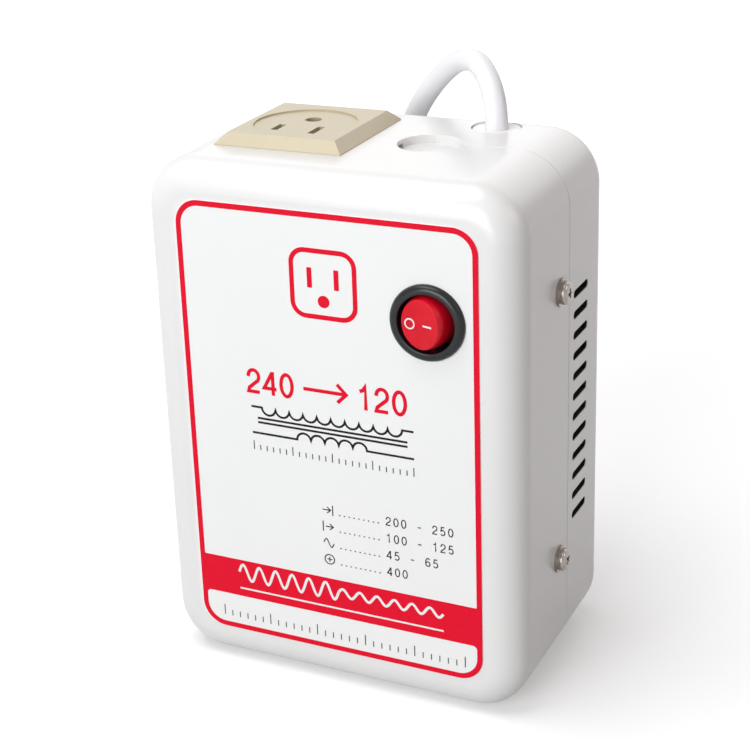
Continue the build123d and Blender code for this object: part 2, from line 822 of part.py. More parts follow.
# Bushing: a turned grommet around the cord, its flange in the recess and its clip under the floor
flange_top_z = case_height - exit_recess_depth + bushing_flange_height
clip_top_z = exit_floor_z - joint_clearance
clip_bottom_z = clip_top_z - bushing_clip_height
with BuildPart() as cord_bushing:
    with BuildSketch(Plane(origin=(cord_x, cord_y, 0), x_dir=(1, 0, 0), z_dir=(0, -1, 0))):
        with BuildLine():
            Polyline(
                (cord_diameter / 2 + bushing_play, flange_top_z),
                (bushing_flange / 2, flange_top_z),
                (bushing_flange / 2, case_height - exit_recess_depth),
                (bushing_neck / 2, case_height - exit_recess_depth),
                (bushing_neck / 2, clip_top_z),
                (bushing_clip / 2, clip_top_z),
                (bushing_tail / 2 + bushing_round, clip_bottom_z),
                (bushing_tail / 2, clip_bottom_z - bushing_tail_length),
                (cord_diameter / 2 + bushing_play, clip_bottom_z - bushing_tail_length),
                close=True,
            )
        make_face()
    revolve(axis=Axis((cord_x, cord_y, 0), (0, 0, 1)))
    fillet(
        cord_bushing.edges().filter_by(GeomType.CIRCLE).group_by(Axis.Z)[-1].sort_by(SortBy.RADIUS)[-1],
        radius=bushing_round,
    )

with BuildPart() as cord_inner_end:
    with BuildSketch(level(flange_top_z)):
        with Locations((cord_x, cord_y)):
            Circle(cord_diameter / 2)
    extrude(amount=-inner_end_length)

# Free stretch of the cord: up out of the bushing, over, down behind the case and along the floor
coil_floor_z = cord_diameter / 2 + floor_gap
cord_route = [
    (cord_x, cord_y, flange_top_z),
    (cord_x, cord_y, 171.4),
    (25.0, 30.0, 179.2),
    (17.3, 38.0, 183.2),
    (5.0, 48.0, 178.8),
    (-11.0, 54.0, 160.0),
    (-21.0, 54.5, 128.0),
    (-13.0, 52.0, 93.0),
    (4.0, 50.0, 62.0),
    (16.0, 52.0, 36.0),
    (20.0, 64.0, 15.5),
    (coil_x + coil_radius, 85.0, coil_floor_z),
    (coil_x + coil_radius, coil_y - cord_diameter, coil_floor_z),
]
tangent_share = 0.45


def bend_radii(points):
    radii = []
    for before, corner, after in zip(points, points[1:], points[2:]):
        first = Vector(corner) - Vector(before)
        second = Vector(after) - Vector(corner)
        half_turn = radians(first.get_angle(second)) / 2
        radii.append(tangent_share * min(first.length, second.length) / tan(half_turn))
    return radii


def square_plane(edge_or_wire):
    return Plane(origin=edge_or_wire @ 0, z_dir=edge_or_wire % 0)


with BuildPart() as mains_cord:
    with BuildLine() as cord_line:
        FilletPolyline(*cord_route, radius=bend_radii(cord_route))
    with BuildSketch(square_plane(cord_line.wires()[0])):
        Circle(cord_diameter / 2)
    sweep(path=cord_line.wires()[0])

# Coil of spare cord: it spirals in on the floor, climbs a layer where it turns, and spirals out
climb_turns = 0.5
inward_turns = coil_layer_turns + climb_turns / 2
total_turns = 2 * inward_turns
quarters = round(4 * total_turns)


def coil_state(turn):
    """Point and unit direction of the coil's centre line after a number of turns"""
    from_middle = turn - inward_turns
    blend = climb_turns / 2
    if abs(from_middle) < blend:
        radius_gain = coil_pitch * (from_middle ** 2 / blend + blend) / 2
        radius_rate = coil_pitch * from_middle / blend
        share = (from_middle + blend) / (2 * blend)
        rise = coil_pitch * share ** 2 * (3 - 2 * share)
        rise_rate = coil_pitch * 6 * share * (1 - share) / (2 * blend)
    else:
        radius_gain = coil_pitch * abs(from_middle)
        radius_rate = coil_pitch if from_middle > 0 else -coil_pitch
        rise = coil_pitch if from_middle > 0 else 0
        rise_rate = 0
    radius = coil_radius - coil_pitch * inward_turns + radius_gain
    angle = 2 * pi * turn
    point = Vector(
        coil_x + radius * cos(angle),
        coil_y + radius * sin(angle),
        coil_floor_z + rise,
    )
    direction = Vector(
        radius_rate * cos(angle) - 2 * pi * radius * sin(angle),
        radius_rate * sin(angle) + 2 * pi * radius * cos(angle),
        rise_rate,
    )
    return point, direction.normalized()


def middle_of_biarc(start, start_way, end, end_way):
    chord = end - start
    ways = start_way + end_way
    reach = 2 * (1 - start_way.dot(end_way))
    along = chord.dot(ways)
    size = (sqrt(along ** 2 + reach * chord.dot(chord)) - along) / reach
    return (start + start_way * size + end - end_way * size) / 2


states = [coil_state(i / 4) for i in range(quarters + 1)]
coil_start = states[0][0] - Vector(0, 1, 0) * cord_diameter
coil_out_way = Vector(-1, 0, 0)
coil_end = states[-1][0] + coil_out_way * cord_diameter
states[0] = (states[0][0], Vector(0, 1, 0))
states[-1] = (states[-1][0], coil_out_way)
with BuildPart() as cord_coil:
    with BuildLine() as coil_line:
        Line(coil_start, states[0][0])
        for (start, start_way), (end, end_way) in zip(states, states[1:]):
            middle = middle_of_biarc(start, start_way, end, end_way)
            first_arc = TangentArc(start, middle, tangent=start_way)
            TangentArc(middle, end, tangent=first_arc % 1)
        Line(states[-1][0], coil_end)
    with BuildSketch(square_plane(coil_line.wires()[0])):
        Circle(cord_diameter / 2)
    sweep(path=coil_line.wires()[0])

# Plug at the coil's end, lying on its back with the pins up
plug_y = coil_end.Y
neck_z = coil_end.Z
neck_end_x = coil_end.X - plug_neck_length
head_x = neck_end_x - plug_head_diameter / 2
with BuildPart() as plug_body:
    with BuildSketch():
        with Locations((head_x, plug_y)):
            Circle(plug_head_diameter / 2)
        with Locations((neck_end_x - plug_shoulder_diameter / 2, plug_y)):
            Circle(plug_shoulder_diameter / 2)
        make_hull()
    extrude(amount=plug_thickness)
    fillet(plug_body.faces().filter_by(Axis.Z).edges(), radius=plug_round)
    neck_root_x = neck_end_x - plug_shoulder_diameter / 2
    with BuildSketch(Plane(origin=(0, plug_y, neck_z), x_dir=(1, 0, 0), z_dir=(0, -1, 0))):
        with BuildLine():
            Polyline(
                (coil_end.X, 0),
                (coil_end.X, plug_neck_start / 2),
                (neck_end_x, plug_neck_end / 2),
                (neck_root_x, plug_neck_end / 2),
                (neck_root_x, 0),
                close=True,
            )
        make_face()
    revolve(axis=Axis((0, plug_y, neck_z), (1, 0, 0)))

pin_turn = radians(2 * pin_angle)
with BuildPart() as plug_line_pins:
    with BuildSketch(level(plug_thickness)):
        for side in (-1, 1):
            with Locations(
                (
                    head_x - line_pin_radius * cos(pin_turn),
                    plug_y + side * line_pin_radius * sin(pin_turn),
                )
            ):
                Rectangle(pin_width, pin_thickness, rotation=side * pin_angle)
    extrude(amount=pin_length)
    chamfer(plug_line_pins.faces().group_by(Axis.Z)[-1].edges(), length=pin_round)
with BuildPart() as plug_earth_pin:
    with BuildSketch(level(plug_thickness)):
        with Locations((head_x + earth_pin_radius, plug_y)):
            Rectangle(pin_width, pin_thickness)
    extrude(amount=earth_pin_length)
    chamfer(plug_earth_pin.faces().group_by(Axis.Z)[-1].edges(), length=pin_round)

# Leads inside the case: each leaves its terminal straight and crosses over by shares of the way
inner_end_z = flange_top_z - inner_end_length
core_places = [
    (cord_x + lead_circle * cos(radians(turn)), cord_y + lead_circle * sin(radians(turn)))
    for turn in (0, 120, 240)
]
(live_core, earth_core, neutral_core) = core_places
flange_z = coil_bottom_z + coil_height
flange_half = tongue_width / 2 + tape_growth + bobbin_margin
lead_y = post_end_y + lead_stand
foot_z = base_bottom_z - foot_thickness
lead_sag = lead_sag_share * (foot_z - foot_end_drop - flange_z - coil_end_rise)


def cord_end(core):
    return Vector(*core, inner_end_z), Vector(0, 0, -cord_end_drop)


def tab_end(place):
    return Vector(switch_x + place * terminal_spacing, tab_end_y, switch_z), Vector(0, tab_end_run, 0)


def coil_end_of(share):
    return Vector(share * flange_half, lead_y, flange_z), Vector(0, 0, coil_end_rise)


def foot_end(x, y, way):
    return Vector(x, y - way * lead_landing, foot_z), Vector(0, 0, -foot_end_drop)


# Shares of the way across in X, Y and Z, and of the sag
lead_shares = {
    "live_lead": (cord_end(live_core), tab_end(0), [(0.5, 0.42, 1.0, 0)]),
    "neutral_lead": (cord_end(neutral_core), coil_end_of(0.75), [(0.4, 0.5, 0.4, 0)]),
    "earth_lead": (
        cord_end(earth_core),
        foot_end(outlet_x, earth_y, 1),
        [(0.17, 0.05, 0.2, 0.7), (0.48, 0.22, 0.5, 1.0), (0.79, 0.6, 0.8, 0.85)],
    ),
    "switched_lead": (
        tab_end(-1),
        coil_end_of(0.28),
        [(0.24, 0.46, 0.24, 0), (0.68, 0.88, 0.64, 0)],
    ),
    "lamp_lead": (
        tab_end(1),
        coil_end_of(0.91),
        [(0.06, 0.49, 0.22, 0), (0.36, 0.88, 0.62, 0)],
    ),
    "output_live_lead": (
        coil_end_of(-0.45),
        foot_end(live_x, blade_y, -1),
        [(0.23, 0.18, 0.31, 0), (0.58, 0.56, 0.62, 0)],
    ),
    "output_neutral_lead": (
        coil_end_of(-0.15),
        foot_end(neutral_x, blade_y, -1),
        [(0.24, 0.18, 0.31, 0), (0.6, 0.56, 0.62, 0)],
    ),
}
lead_routes = {}
for name, ((start, start_run), (end, end_run), shares) in lead_shares.items():
    near = start + start_run
    far = end + end_run
    across = far - near
    lead_routes[name] = [
        start,
        near,
        *[
            near + Vector(across.X * x, across.Y * y, across.Z * z - lead_sag * sag)
            for x, y, z, sag in shares
        ],
        far,
        end,
    ]
for name, route in lead_routes.items():
    with BuildPart() as lead:
        with BuildLine() as lead_line:
            FilletPolyline(*route, radius=bend_radii(route))
        with BuildSketch(square_plane(lead_line.wires()[0])):
            Circle(lead_diameter / 2)
        sweep(path=lead_line.wires()[0])
    save(lead.part, name)
    print(name, "radii", [round(radius, 1) for radius in bend_radii(route)])

# Least gap of the coil to itself, between points of its centre line more than a quarter turn apart
coil_points = [coil_state(i / 96)[0] for i in range(round(96 * total_turns) + 1)]
least = min(
    (coil_points[i] - coil_points[j]).length
    for i in range(len(coil_points))
    for j in range(i + 24, len(coil_points))
)
print("coil gap", round(least - cord_diameter, 2))
print("cord length", round(cord_line.wires()[0].length), "coil length", round(coil_line.wires()[0].length))

for part, name in (
    (front_shell, "front_shell"),
    (rear_shell, "rear_shell"),
    (front_label, "front_label"),
    (side_screws, "side_screws"),
    (side_washers, "side_washers"),
    (outlet_face, "outlet_face"),
    (outlet_base, "outlet_base"),
    (outlet_terminal_screws, "outlet_terminal_screws"),
    (switch_housing, "switch_housing"),
    (switch_rocker, "switch_rocker"),
    (rocker_plunger, "rocker_plunger"),
    (rocker_spring, "rocker_spring"),
    (neon_lamp, "neon_lamp"),
    (contact_arm, "contact_arm"),
    (common_terminal, "common_terminal"),
    (load_terminal, "load_terminal"),
    (lamp_terminal, "lamp_terminal"),
    (core_e_stack, "core_e_stack"),
    (core_i_stack, "core_i_stack"),
    (core_bolts, "core_bolts"),
    (bobbin, "bobbin"),
    (thermal_fuse, "thermal_fuse"),
    (cord_bushing, "cord_bushing"),
    (cord_inner_end, "cord_inner_end"),
    (mains_cord, "mains_cord"),
    (cord_coil, "cord_coil"),
    (plug_body, "plug_body"),
    (plug_line_pins, "plug_line_pins"),
    (plug_earth_pin, "plug_earth_pin"),
):
    save(part.part, name)

print("cord radii", [round(radius, 1) for radius in bend_radii(cord_route)])
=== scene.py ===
import math

import bmesh
import bpy
from mathutils import Matrix, Vector


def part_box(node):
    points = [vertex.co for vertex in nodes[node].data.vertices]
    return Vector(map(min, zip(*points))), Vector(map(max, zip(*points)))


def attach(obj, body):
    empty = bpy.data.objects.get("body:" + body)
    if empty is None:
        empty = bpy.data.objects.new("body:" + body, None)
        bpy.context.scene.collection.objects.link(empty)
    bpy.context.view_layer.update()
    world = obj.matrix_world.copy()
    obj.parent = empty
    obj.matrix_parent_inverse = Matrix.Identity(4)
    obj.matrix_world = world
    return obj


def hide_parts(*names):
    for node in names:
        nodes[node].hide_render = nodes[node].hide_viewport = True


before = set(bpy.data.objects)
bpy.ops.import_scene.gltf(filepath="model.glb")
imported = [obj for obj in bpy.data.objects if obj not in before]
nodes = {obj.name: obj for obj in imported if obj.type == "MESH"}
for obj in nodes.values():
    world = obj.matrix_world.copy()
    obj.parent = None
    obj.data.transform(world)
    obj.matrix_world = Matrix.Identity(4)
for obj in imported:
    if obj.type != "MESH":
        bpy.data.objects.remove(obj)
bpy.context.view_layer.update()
scene = bpy.context.scene
mm = 0.001
# a wave texture at scale 1 repeats its bands every pi / 10 metres
bandRepeat = math.pi / 10


def toLinear(hexColour):
    channels = [int(hexColour[i:i + 2], 16) / 255 for i in (1, 3, 5)]
    return tuple(c / 12.92 if c <= 0.04045 else ((c + 0.055) / 1.055) ** 2.4 for c in channels) + (1,)


def addNode(tree, kind, settings=None, links=None, feeds=None):
    # settings: node properties or input values. links bring (node, output) in, feeds send an output on
    node = tree.nodes.new("ShaderNode" + kind)
    for key, value in (settings or {}).items():
        if isinstance(key, str) and hasattr(node, key):
            setattr(node, key, value)
        else:
            node.inputs[key].default_value = value
    for key, (source, output) in (links or {}).items():
        tree.links.new(source.outputs[output], node.inputs[key])
    for output, (target, key) in (feeds or {}).items():
        tree.links.new(node.outputs[output], target.inputs[key])
    return node


def startMaterial(name, hexColour, roughness, metallic=0.0, ior=1.5):
    material = bpy.data.materials.new(name)
    material.use_nodes = True
    tree = material.node_tree
    shader = tree.nodes["Principled BSDF"]
    shader.inputs["Base Color"].default_value = toLinear(hexColour)
    shader.inputs["Roughness"].default_value = roughness
    shader.inputs["Metallic"].default_value = metallic
    if not metallic:
        shader.inputs["IOR"].default_value = ior
    material.diffuse_color = toLinear(hexColour)
    return material, tree, shader


# Injection moulded ABS, polished tool: clean white gloss with a faint orange peel
def makeMouldedAbs():
    material, tree, shader = startMaterial("caseAbs", "#f1f0ee", 0.3, ior=1.53)
    place = addNode(tree, "TexCoord")
    flow = addNode(tree, "TexNoise", {"Scale": 1 / (45 * mm), "Detail": 3.0}, {"Vector": (place, "Object")})
    peel = addNode(tree, "TexNoise", {"Scale": 1 / (1.2 * mm), "Detail": 2.0}, {"Vector": (place, "Object")})
    addNode(
        tree, "MixRGB", {"Color1": toLinear("#eae9e8"), "Color2": toLinear("#f0efee")},
        {"Fac": (flow, "Fac")}, {"Color": (shader, "Base Color")},
    )
    addNode(
        tree, "MapRange", {"To Min": 0.25, "To Max": 0.35},
        {"Value": (flow, "Fac")}, {"Result": (shader, "Roughness")},
    )
    addNode(
        tree, "Bump", {"Strength": 0.06, "Distance": 0.05 * mm},
        {"Height": (peel, "Fac")}, {"Normal": (shader, "Normal")},
    )
    shader.inputs["Coat Weight"].default_value = 0.15
    shader.inputs["Coat Roughness"].default_value = 0.12
    return material


# The case's own ABS, with painted shade: the edges of the vents and the walls just behind them are painted
# near-black where shade falls inside the case
ventShade = {
    "insideMm": (50.0, 59.8),
    "depthMm": (8.2, 24.6),
    "heightMm": (41.0, 128.0),
}


def makeVentShadedAbs(shadeBox):
    material = caseAbs.copy()
    material.name = "ventShadedAbs"
    tree = material.node_tree
    shader = tree.nodes["Principled BSDF"]
    place = addNode(tree, "TexCoord")
    split = addNode(tree, "SeparateXYZ", {}, {"Vector": (place, "Object")})
    width = addNode(tree, "Math", {"operation": "ABSOLUTE"}, {0: (split, "X")})
    inside = None
    sides = ((width, "Value", "insideMm"), (split, "Y", "depthMm"), (split, "Z", "heightMm"))
    for source, output, key in sides:
        low, high = shadeBox[key]
        above = addNode(tree, "Math", {"operation": "GREATER_THAN", 1: low * mm}, {0: (source, output)})
        below = addNode(tree, "Math", {"operation": "LESS_THAN", 1: high * mm}, {0: (source, output)})
        both = addNode(tree, "Math", {"operation": "MULTIPLY"}, {0: (above, "Value"), 1: (below, "Value")})
        inside = both if inside is None else addNode(
            tree, "Math", {"operation": "MULTIPLY"}, {0: (inside, "Value"), 1: (both, "Value")},
        )
    plain = shader.inputs["Base Color"].links[0].from_socket
    # painted shade: inside this box the case's white gives way to a mottled near-black, standing in for the
    # shade in the vents
    shadeMottle = addNode(tree, "TexNoise", {"Scale": 1 / (1 * mm), "Detail": 3.0}, {"Vector": (place, "Object")})
    paintedShade = addNode(
        tree, "MixRGB", {"Color1": toLinear("#1d1a17"), "Color2": toLinear("#39332d")},
        {"Fac": (shadeMottle, "Fac")},
    )
    blend = addNode(
        tree, "MixRGB", {},
        {"Fac": (inside, "Value"), "Color2": (paintedShade, "Color")}, {"Color": (shader, "Base Color")},
    )
    tree.links.new(plain, blend.inputs["Color1"])
    return material


# Vinyl film, calendered: flatter white than the case, with the very fine tooth of its matt face
def makeLabelVinyl():
    material, tree, shader = startMaterial("labelVinyl", "#f6f6f5", 0.42, ior=1.49)
    place = addNode(tree, "TexCoord")
    tooth = addNode(tree, "TexNoise", {"Scale": 1 / (0.6 * mm), "Detail": 2.0}, {"Vector": (place, "Object")})
    cloud = addNode(tree, "TexNoise", {"Scale": 1 / (30 * mm), "Detail": 2.0}, {"Vector": (place, "Object")})
    addNode(
        tree, "MixRGB", {"Color1": toLinear("#f4f4f3"), "Color2": toLinear("#f8f8f7")},
        {"Fac": (cloud, "Fac")}, {"Color": (shader, "Base Color")},
    )
    addNode(
        tree, "Bump", {"Strength": 0.08, "Distance": 0.02 * mm},
        {"Height": (tooth, "Fac")}, {"Normal": (shader, "Normal")},
    )
    return material


# Screen ink, squeegeed: a dense flat film, its 0.3 mm mesh drawn 0.8 mm apart to show at all
def makeScreenInk(name, darkHex, lightHex):
    material, tree, shader = startMaterial(name, lightHex, 0.38, ior=1.48)
    place = addNode(tree, "TexCoord")
    mesh = addNode(tree, "TexNoise", {"Scale": 1 / (0.8 * mm), "Detail": 3.0}, {"Vector": (place, "Object")})
    addNode(
        tree, "MixRGB", {"Color1": toLinear(darkHex), "Color2": toLinear(lightHex)},
        {"Fac": (mesh, "Fac")}, {"Color": (shader, "Base Color")},
    )
    addNode(
        tree, "Bump", {"Strength": 0.05, "Distance": 0.02 * mm},
        {"Height": (mesh, "Fac")}, {"Normal": (shader, "Normal")},
    )
    shader.inputs["Specular IOR Level"].default_value = 0.12
    return material


# Urea compound, pressed: warm beige with a soft sheen and a faint cloud in the colour
def makeUreaBeige():
    material, tree, shader = startMaterial("ureaBeige", "#d8cdb4", 0.36, ior=1.55)
    place = addNode(tree, "TexCoord")
    cloud = addNode(tree, "TexNoise", {"Scale": 1 / (12 * mm), "Detail": 4.0}, {"Vector": (place, "Object")})
    grain = addNode(tree, "TexNoise", {"Scale": 1 / (0.7 * mm), "Detail": 2.0}, {"Vector": (place, "Object")})
    addNode(
        tree, "MixRGB", {"Color1": toLinear("#bdb092"), "Color2": toLinear("#cabd9f")},
        {"Fac": (cloud, "Fac")}, {"Color": (shader, "Base Color")},
    )
    addNode(
        tree, "MapRange", {"To Min": 0.32, "To Max": 0.42},
        {"Value": (cloud, "Fac")}, {"Result": (shader, "Roughness")},
    )
    addNode(
        tree, "Bump", {"Strength": 0.06, "Distance": 0.03 * mm},
        {"Height": (grain, "Fac")}, {"Normal": (shader, "Normal")},
    )
    return material


# Polyamide, moulded on a spark eroded tool: near black with a fine even matt grain
def makeBlackNylon():
    material, tree, shader = startMaterial("blackNylon", "#17181a", 0.22, ior=1.53)
    place = addNode(tree, "TexCoord")
    spark = addNode(tree, "TexNoise", {"Scale": 1 / (0.3 * mm), "Detail": 2.0}, {"Vector": (place, "Object")})
    cloud = addNode(tree, "TexNoise", {"Scale": 1 / (6 * mm), "Detail": 2.0}, {"Vector": (place, "Object")})
    addNode(
        tree, "MixRGB", {"Color1": toLinear("#131416"), "Color2": toLinear("#1d1e21")},
        {"Fac": (cloud, "Fac")}, {"Color": (shader, "Base Color")},
    )
    addNode(
        tree, "MapRange", {"To Min": 0.18, "To Max": 0.26},
        {"Value": (cloud, "Fac")}, {"Result": (shader, "Roughness")},
    )
    addNode(
        tree, "Bump", {"Strength": 0.12, "Distance": 0.02 * mm},
        {"Height": (spark, "Fac")}, {"Normal": (shader, "Normal")},
    )
    shader.inputs["Specular IOR Level"].default_value = 0.3
    return material


# Tinted polycarbonate, moulded clear: deep red that lets a little light through, with a sharp gloss
def makeRedPolycarbonate():
    material, tree, shader = startMaterial("redPolycarbonate", "#e40c24", 0.16, ior=1.58)
    place = addNode(tree, "TexCoord")
    swirl = addNode(tree, "TexNoise", {"Scale": 1 / (4 * mm), "Detail": 2.0}, {"Vector": (place, "Object")})
    addNode(
        tree, "MixRGB", {"Color1": toLinear("#d8061a"), "Color2": toLinear("#f01030")},
        {"Fac": (swirl, "Fac")}, {"Color": (shader, "Base Color")},
    )
    addNode(
        tree, "MapRange", {"To Min": 0.13, "To Max": 0.22},
        {"Value": (swirl, "Fac")}, {"Result": (shader, "Roughness")},
    )
    shader.inputs["Subsurface Weight"].default_value = 0.6
    shader.inputs["Subsurface Radius"].default_value = (4.0 * mm, 0.3 * mm, 0.3 * mm)
    shader.inputs["Subsurface Scale"].default_value = 1.0
    shader.inputs["Specular IOR Level"].default_value = 0.15
    return material


# Flexible PVC, extruded: a dense even sheath with the soft skin that the die leaves
def makePvcSheath(name, darkHex, lightHex):
    material, tree, shader = startMaterial(name, lightHex, 0.4, ior=1.52)
    place = addNode(tree, "TexCoord")
    cloud = addNode(tree, "TexNoise", {"Scale": 1 / (20 * mm), "Detail": 2.0}, {"Vector": (place, "Object")})
    skin = addNode(tree, "TexNoise", {"Scale": 1 / (0.9 * mm), "Detail": 3.0}, {"Vector": (place, "Object")})
    addNode(
        tree, "MixRGB", {"Color1": toLinear(darkHex), "Color2": toLinear(lightHex)},
        {"Fac": (cloud, "Fac")}, {"Color": (shader, "Base Color")},
    )
    addNode(
        tree, "MapRange", {"To Min": 0.34, "To Max": 0.46},
        {"Value": (skin, "Fac")}, {"Result": (shader, "Roughness")},
    )
    addNode(
        tree, "Bump", {"Strength": 0.08, "Distance": 0.04 * mm},
        {"Height": (skin, "Fac")}, {"Normal": (shader, "Normal")},
    )
    return material


# Steel, nickel plated and barrelled: bright warm metal, slightly softened by tumbling
def makeNickelSteel():
    material, tree, shader = startMaterial("nickelSteel", "#988f8b", 0.2, metallic=1.0)
    place = addNode(tree, "TexCoord")
    tumble = addNode(
        tree, "TexNoise", {"Scale": 1 / (0.8 * mm), "Detail": 4.0}, {"Vector": (place, "Object")},
    )
    addNode(
        tree, "MixRGB", {"Color1": toLinear("#857d79"), "Color2": toLinear("#aaa29d")},
        {"Fac": (tumble, "Fac")}, {"Color": (shader, "Base Color")},
    )
    addNode(
        tree, "MapRange", {"To Min": 0.14, "To Max": 0.26},
        {"Value": (tumble, "Fac")}, {"Result": (shader, "Roughness")},
    )
    addNode(
        tree, "Bump", {"Strength": 0.08, "Distance": 0.02 * mm},
        {"Height": (tumble, "Fac")}, {"Normal": (shader, "Normal")},
    )
    return material


# Brass strip, rolled and pressed: yellow metal with the fine straight lines of rolling
def makeBrassStrip():
    material, tree, shader = startMaterial("brassStrip", "#c9a35a", 0.28, metallic=1.0)
    place = addNode(tree, "TexCoord")
    rolling = addNode(
        tree, "TexWave", {"Scale": bandRepeat / (0.377 * mm), "Distortion": 1.5, "bands_direction": "X"},
        {"Vector": (place, "Object")},
    )
    addNode(
        tree, "MixRGB", {"Color1": toLinear("#bd964c"), "Color2": toLinear("#d2ae68")},
        {"Fac": (rolling, "Fac")}, {"Color": (shader, "Base Color")},
    )
    addNode(
        tree, "MapRange", {"To Min": 0.24, "To Max": 0.34},
        {"Value": (rolling, "Fac")}, {"Result": (shader, "Roughness")},
    )
    return material


# Enamelled copper, layer wound: amber red wire, its 0.5 mm turns drawn 1.8 mm apart to show
def makeCopperTurns():
    material, tree, shader = startMaterial("copperTurns", "#a8552c", 0.3, metallic=0.85)
    place = addNode(tree, "TexCoord")
    turns = addNode(
        tree, "TexWave", {"Scale": bandRepeat / (1.79 * mm), "bands_direction": "Z"},
        {"Vector": (place, "Object")},
    )
    addNode(
        tree, "MixRGB", {"Color1": toLinear("#6b2c14"), "Color2": toLinear("#c26a38")},
        {"Fac": (turns, "Fac")}, {"Color": (shader, "Base Color")},
    )
    addNode(
        tree, "Bump", {"Strength": 0.6, "Distance": 0.4 * mm},
        {"Height": (turns, "Fac")}, {"Normal": (shader, "Normal")},
    )
    return material


# Silicon steel sheets, stamped and varnished: dark grey, the 0.5 mm sheets drawn 2 mm apart to show
def makeLaminations():
    material, tree, shader = startMaterial("laminations", "#3b3b40", 0.42, metallic=0.7)
    place = addNode(tree, "TexCoord")
    sheets = addNode(
        tree, "TexWave", {"Scale": bandRepeat / (1.98 * mm), "bands_direction": "Y", "Distortion": 0.3},
        {"Vector": (place, "Object")},
    )
    addNode(
        tree, "MixRGB", {"Color1": toLinear("#26262a"), "Color2": toLinear("#4a4a50")},
        {"Fac": (sheets, "Fac")}, {"Color": (shader, "Base Color")},
    )
    addNode(
        tree, "Bump", {"Strength": 0.5, "Distance": 0.2 * mm},
        {"Height": (sheets, "Fac")}, {"Normal": (shader, "Normal")},
    )
    return material


# Polyester film tape, wound on: yellow, with a soft step where each turn laps the last, 24 mm apart
def makeFilmTape():
    material, tree, shader = startMaterial("filmTape", "#d8b02a", 0.24, ior=1.6)
    place = addNode(tree, "TexCoord")
    laps = addNode(
        tree, "TexWave", {"Scale": bandRepeat / (23.56 * mm), "bands_direction": "Z", "wave_profile": "SAW"},
        {"Vector": (place, "Object")},
    )
    addNode(
        tree, "MixRGB", {"Color1": toLinear("#c79a1c"), "Color2": toLinear("#e0bb3a")},
        {"Fac": (laps, "Fac")}, {"Color": (shader, "Base Color")},
    )
    addNode(
        tree, "Bump", {"Strength": 0.3, "Distance": 0.1 * mm},
        {"Height": (laps, "Fac")}, {"Normal": (shader, "Normal")},
    )
    return material


# Soda glass tube, drawn: clear, with an amber tint from the lamp inside
def makeLampGlass():
    material, tree, shader = startMaterial("lampGlass", "#f2b890", 0.05, ior=1.52)
    place = addNode(tree, "TexCoord")
    drawn = addNode(tree, "TexNoise", {"Scale": 1 / (2 * mm)}, {"Vector": (place, "Object")})
    addNode(
        tree, "MixRGB", {"Color1": toLinear("#eeb088"), "Color2": toLinear("#f6c6a4")},
        {"Fac": (drawn, "Fac")}, {"Color": (shader, "Base Color")},
    )
    shader.inputs["Transmission Weight"].default_value = 0.7
    return material


caseAbs = makeMouldedAbs()
ventShadedAbs = makeVentShadedAbs(ventShade)
labelVinyl = makeLabelVinyl()
redInk = makeScreenInk("redInk", "#e60c2c", "#f01634")
blackInk = makeScreenInk("blackInk", "#201c1c", "#2b2727")
whiteInk = makeScreenInk("whiteInk", "#f0f0f0", "#fafafa")
ureaBeige = makeUreaBeige()
blackNylon = makeBlackNylon()
redPolycarbonate = makeRedPolycarbonate()
whiteSheath = makePvcSheath("whiteSheath", "#eeedf1", "#f7f6f9")
whiteBushing = makePvcSheath("whiteBushing", "#f0efef", "#f7f6f6")
brownLead = makePvcSheath("brownLead", "#4a2a18", "#5c3520")
blueLead = makePvcSheath("blueLead", "#1c4fa0", "#2b62b8")
greenLead = makePvcSheath("greenLead", "#5f8f22", "#7cab35")
nickelSteel = makeNickelSteel()
brassStrip = makeBrassStrip()
copperTurns = makeCopperTurns()
laminations = makeLaminations()
filmTape = makeFilmTape()
lampGlass = makeLampGlass()

nodeFinish = {
    "front_shell": ventShadedAbs, "rear_shell": ventShadedAbs, "front_label": labelVinyl,
    "side_screws": nickelSteel, "side_washers": nickelSteel,
    "outlet_face": ureaBeige, "outlet_base": ureaBeige,
    "live_contact": brassStrip, "neutral_contact": brassStrip, "earth_contact": brassStrip,
    "outlet_terminal_screws": nickelSteel,
    "switch_housing": blackNylon, "switch_rocker": redPolycarbonate,
    "rocker_plunger": whiteSheath, "rocker_spring": nickelSteel, "neon_lamp": lampGlass,
    "contact_arm": brassStrip, "common_terminal": brassStrip, "load_terminal": brassStrip,
    "lamp_terminal": brassStrip,
    "core_e_stack": laminations, "core_i_stack": laminations, "core_bolts": nickelSteel,
    "bobbin": blackNylon, "primary_winding": copperTurns, "secondary_winding": copperTurns,
    "winding_tape": filmTape, "thermal_fuse": whiteSheath,
    "cord_bushing": whiteBushing, "cord_inner_end": whiteSheath, "mains_cord": whiteSheath,
    "cord_coil": whiteSheath, "plug_body": whiteSheath,
    "plug_line_pins": brassStrip, "plug_earth_pin": brassStrip,
    "live_lead": brownLead, "switched_lead": brownLead, "output_live_lead": brownLead,
    "neutral_lead": blueLead, "lamp_lead": blueLead, "output_neutral_lead": blueLead,
    "earth_lead": greenLead,
}
for nodeName, finish in nodeFinish.items():
    mesh = nodes[nodeName].data
    mesh.materials.clear()
    mesh.materials.append(finish)
print("materials:", len(nodeFinish), "nodes finished")

# Camera, at the photograph's place: the right side of the case shows beside its front
cameraSetup = {
    "place": (0.21759, -0.46115, 0.30264),
    "right": (0.89204, 0.44971, -0.0451),
    "down": (0.12393, -0.33933, -0.93247),
    "forward": (-0.43464, 0.82621, -0.35842),
    "focalPixels": 1763.91,
    "centrePixels": (308.11, 326.72),
    "imagePixels": 750,
    "sensorMm": 36.0,
    "clipStartM": 0.01,
}


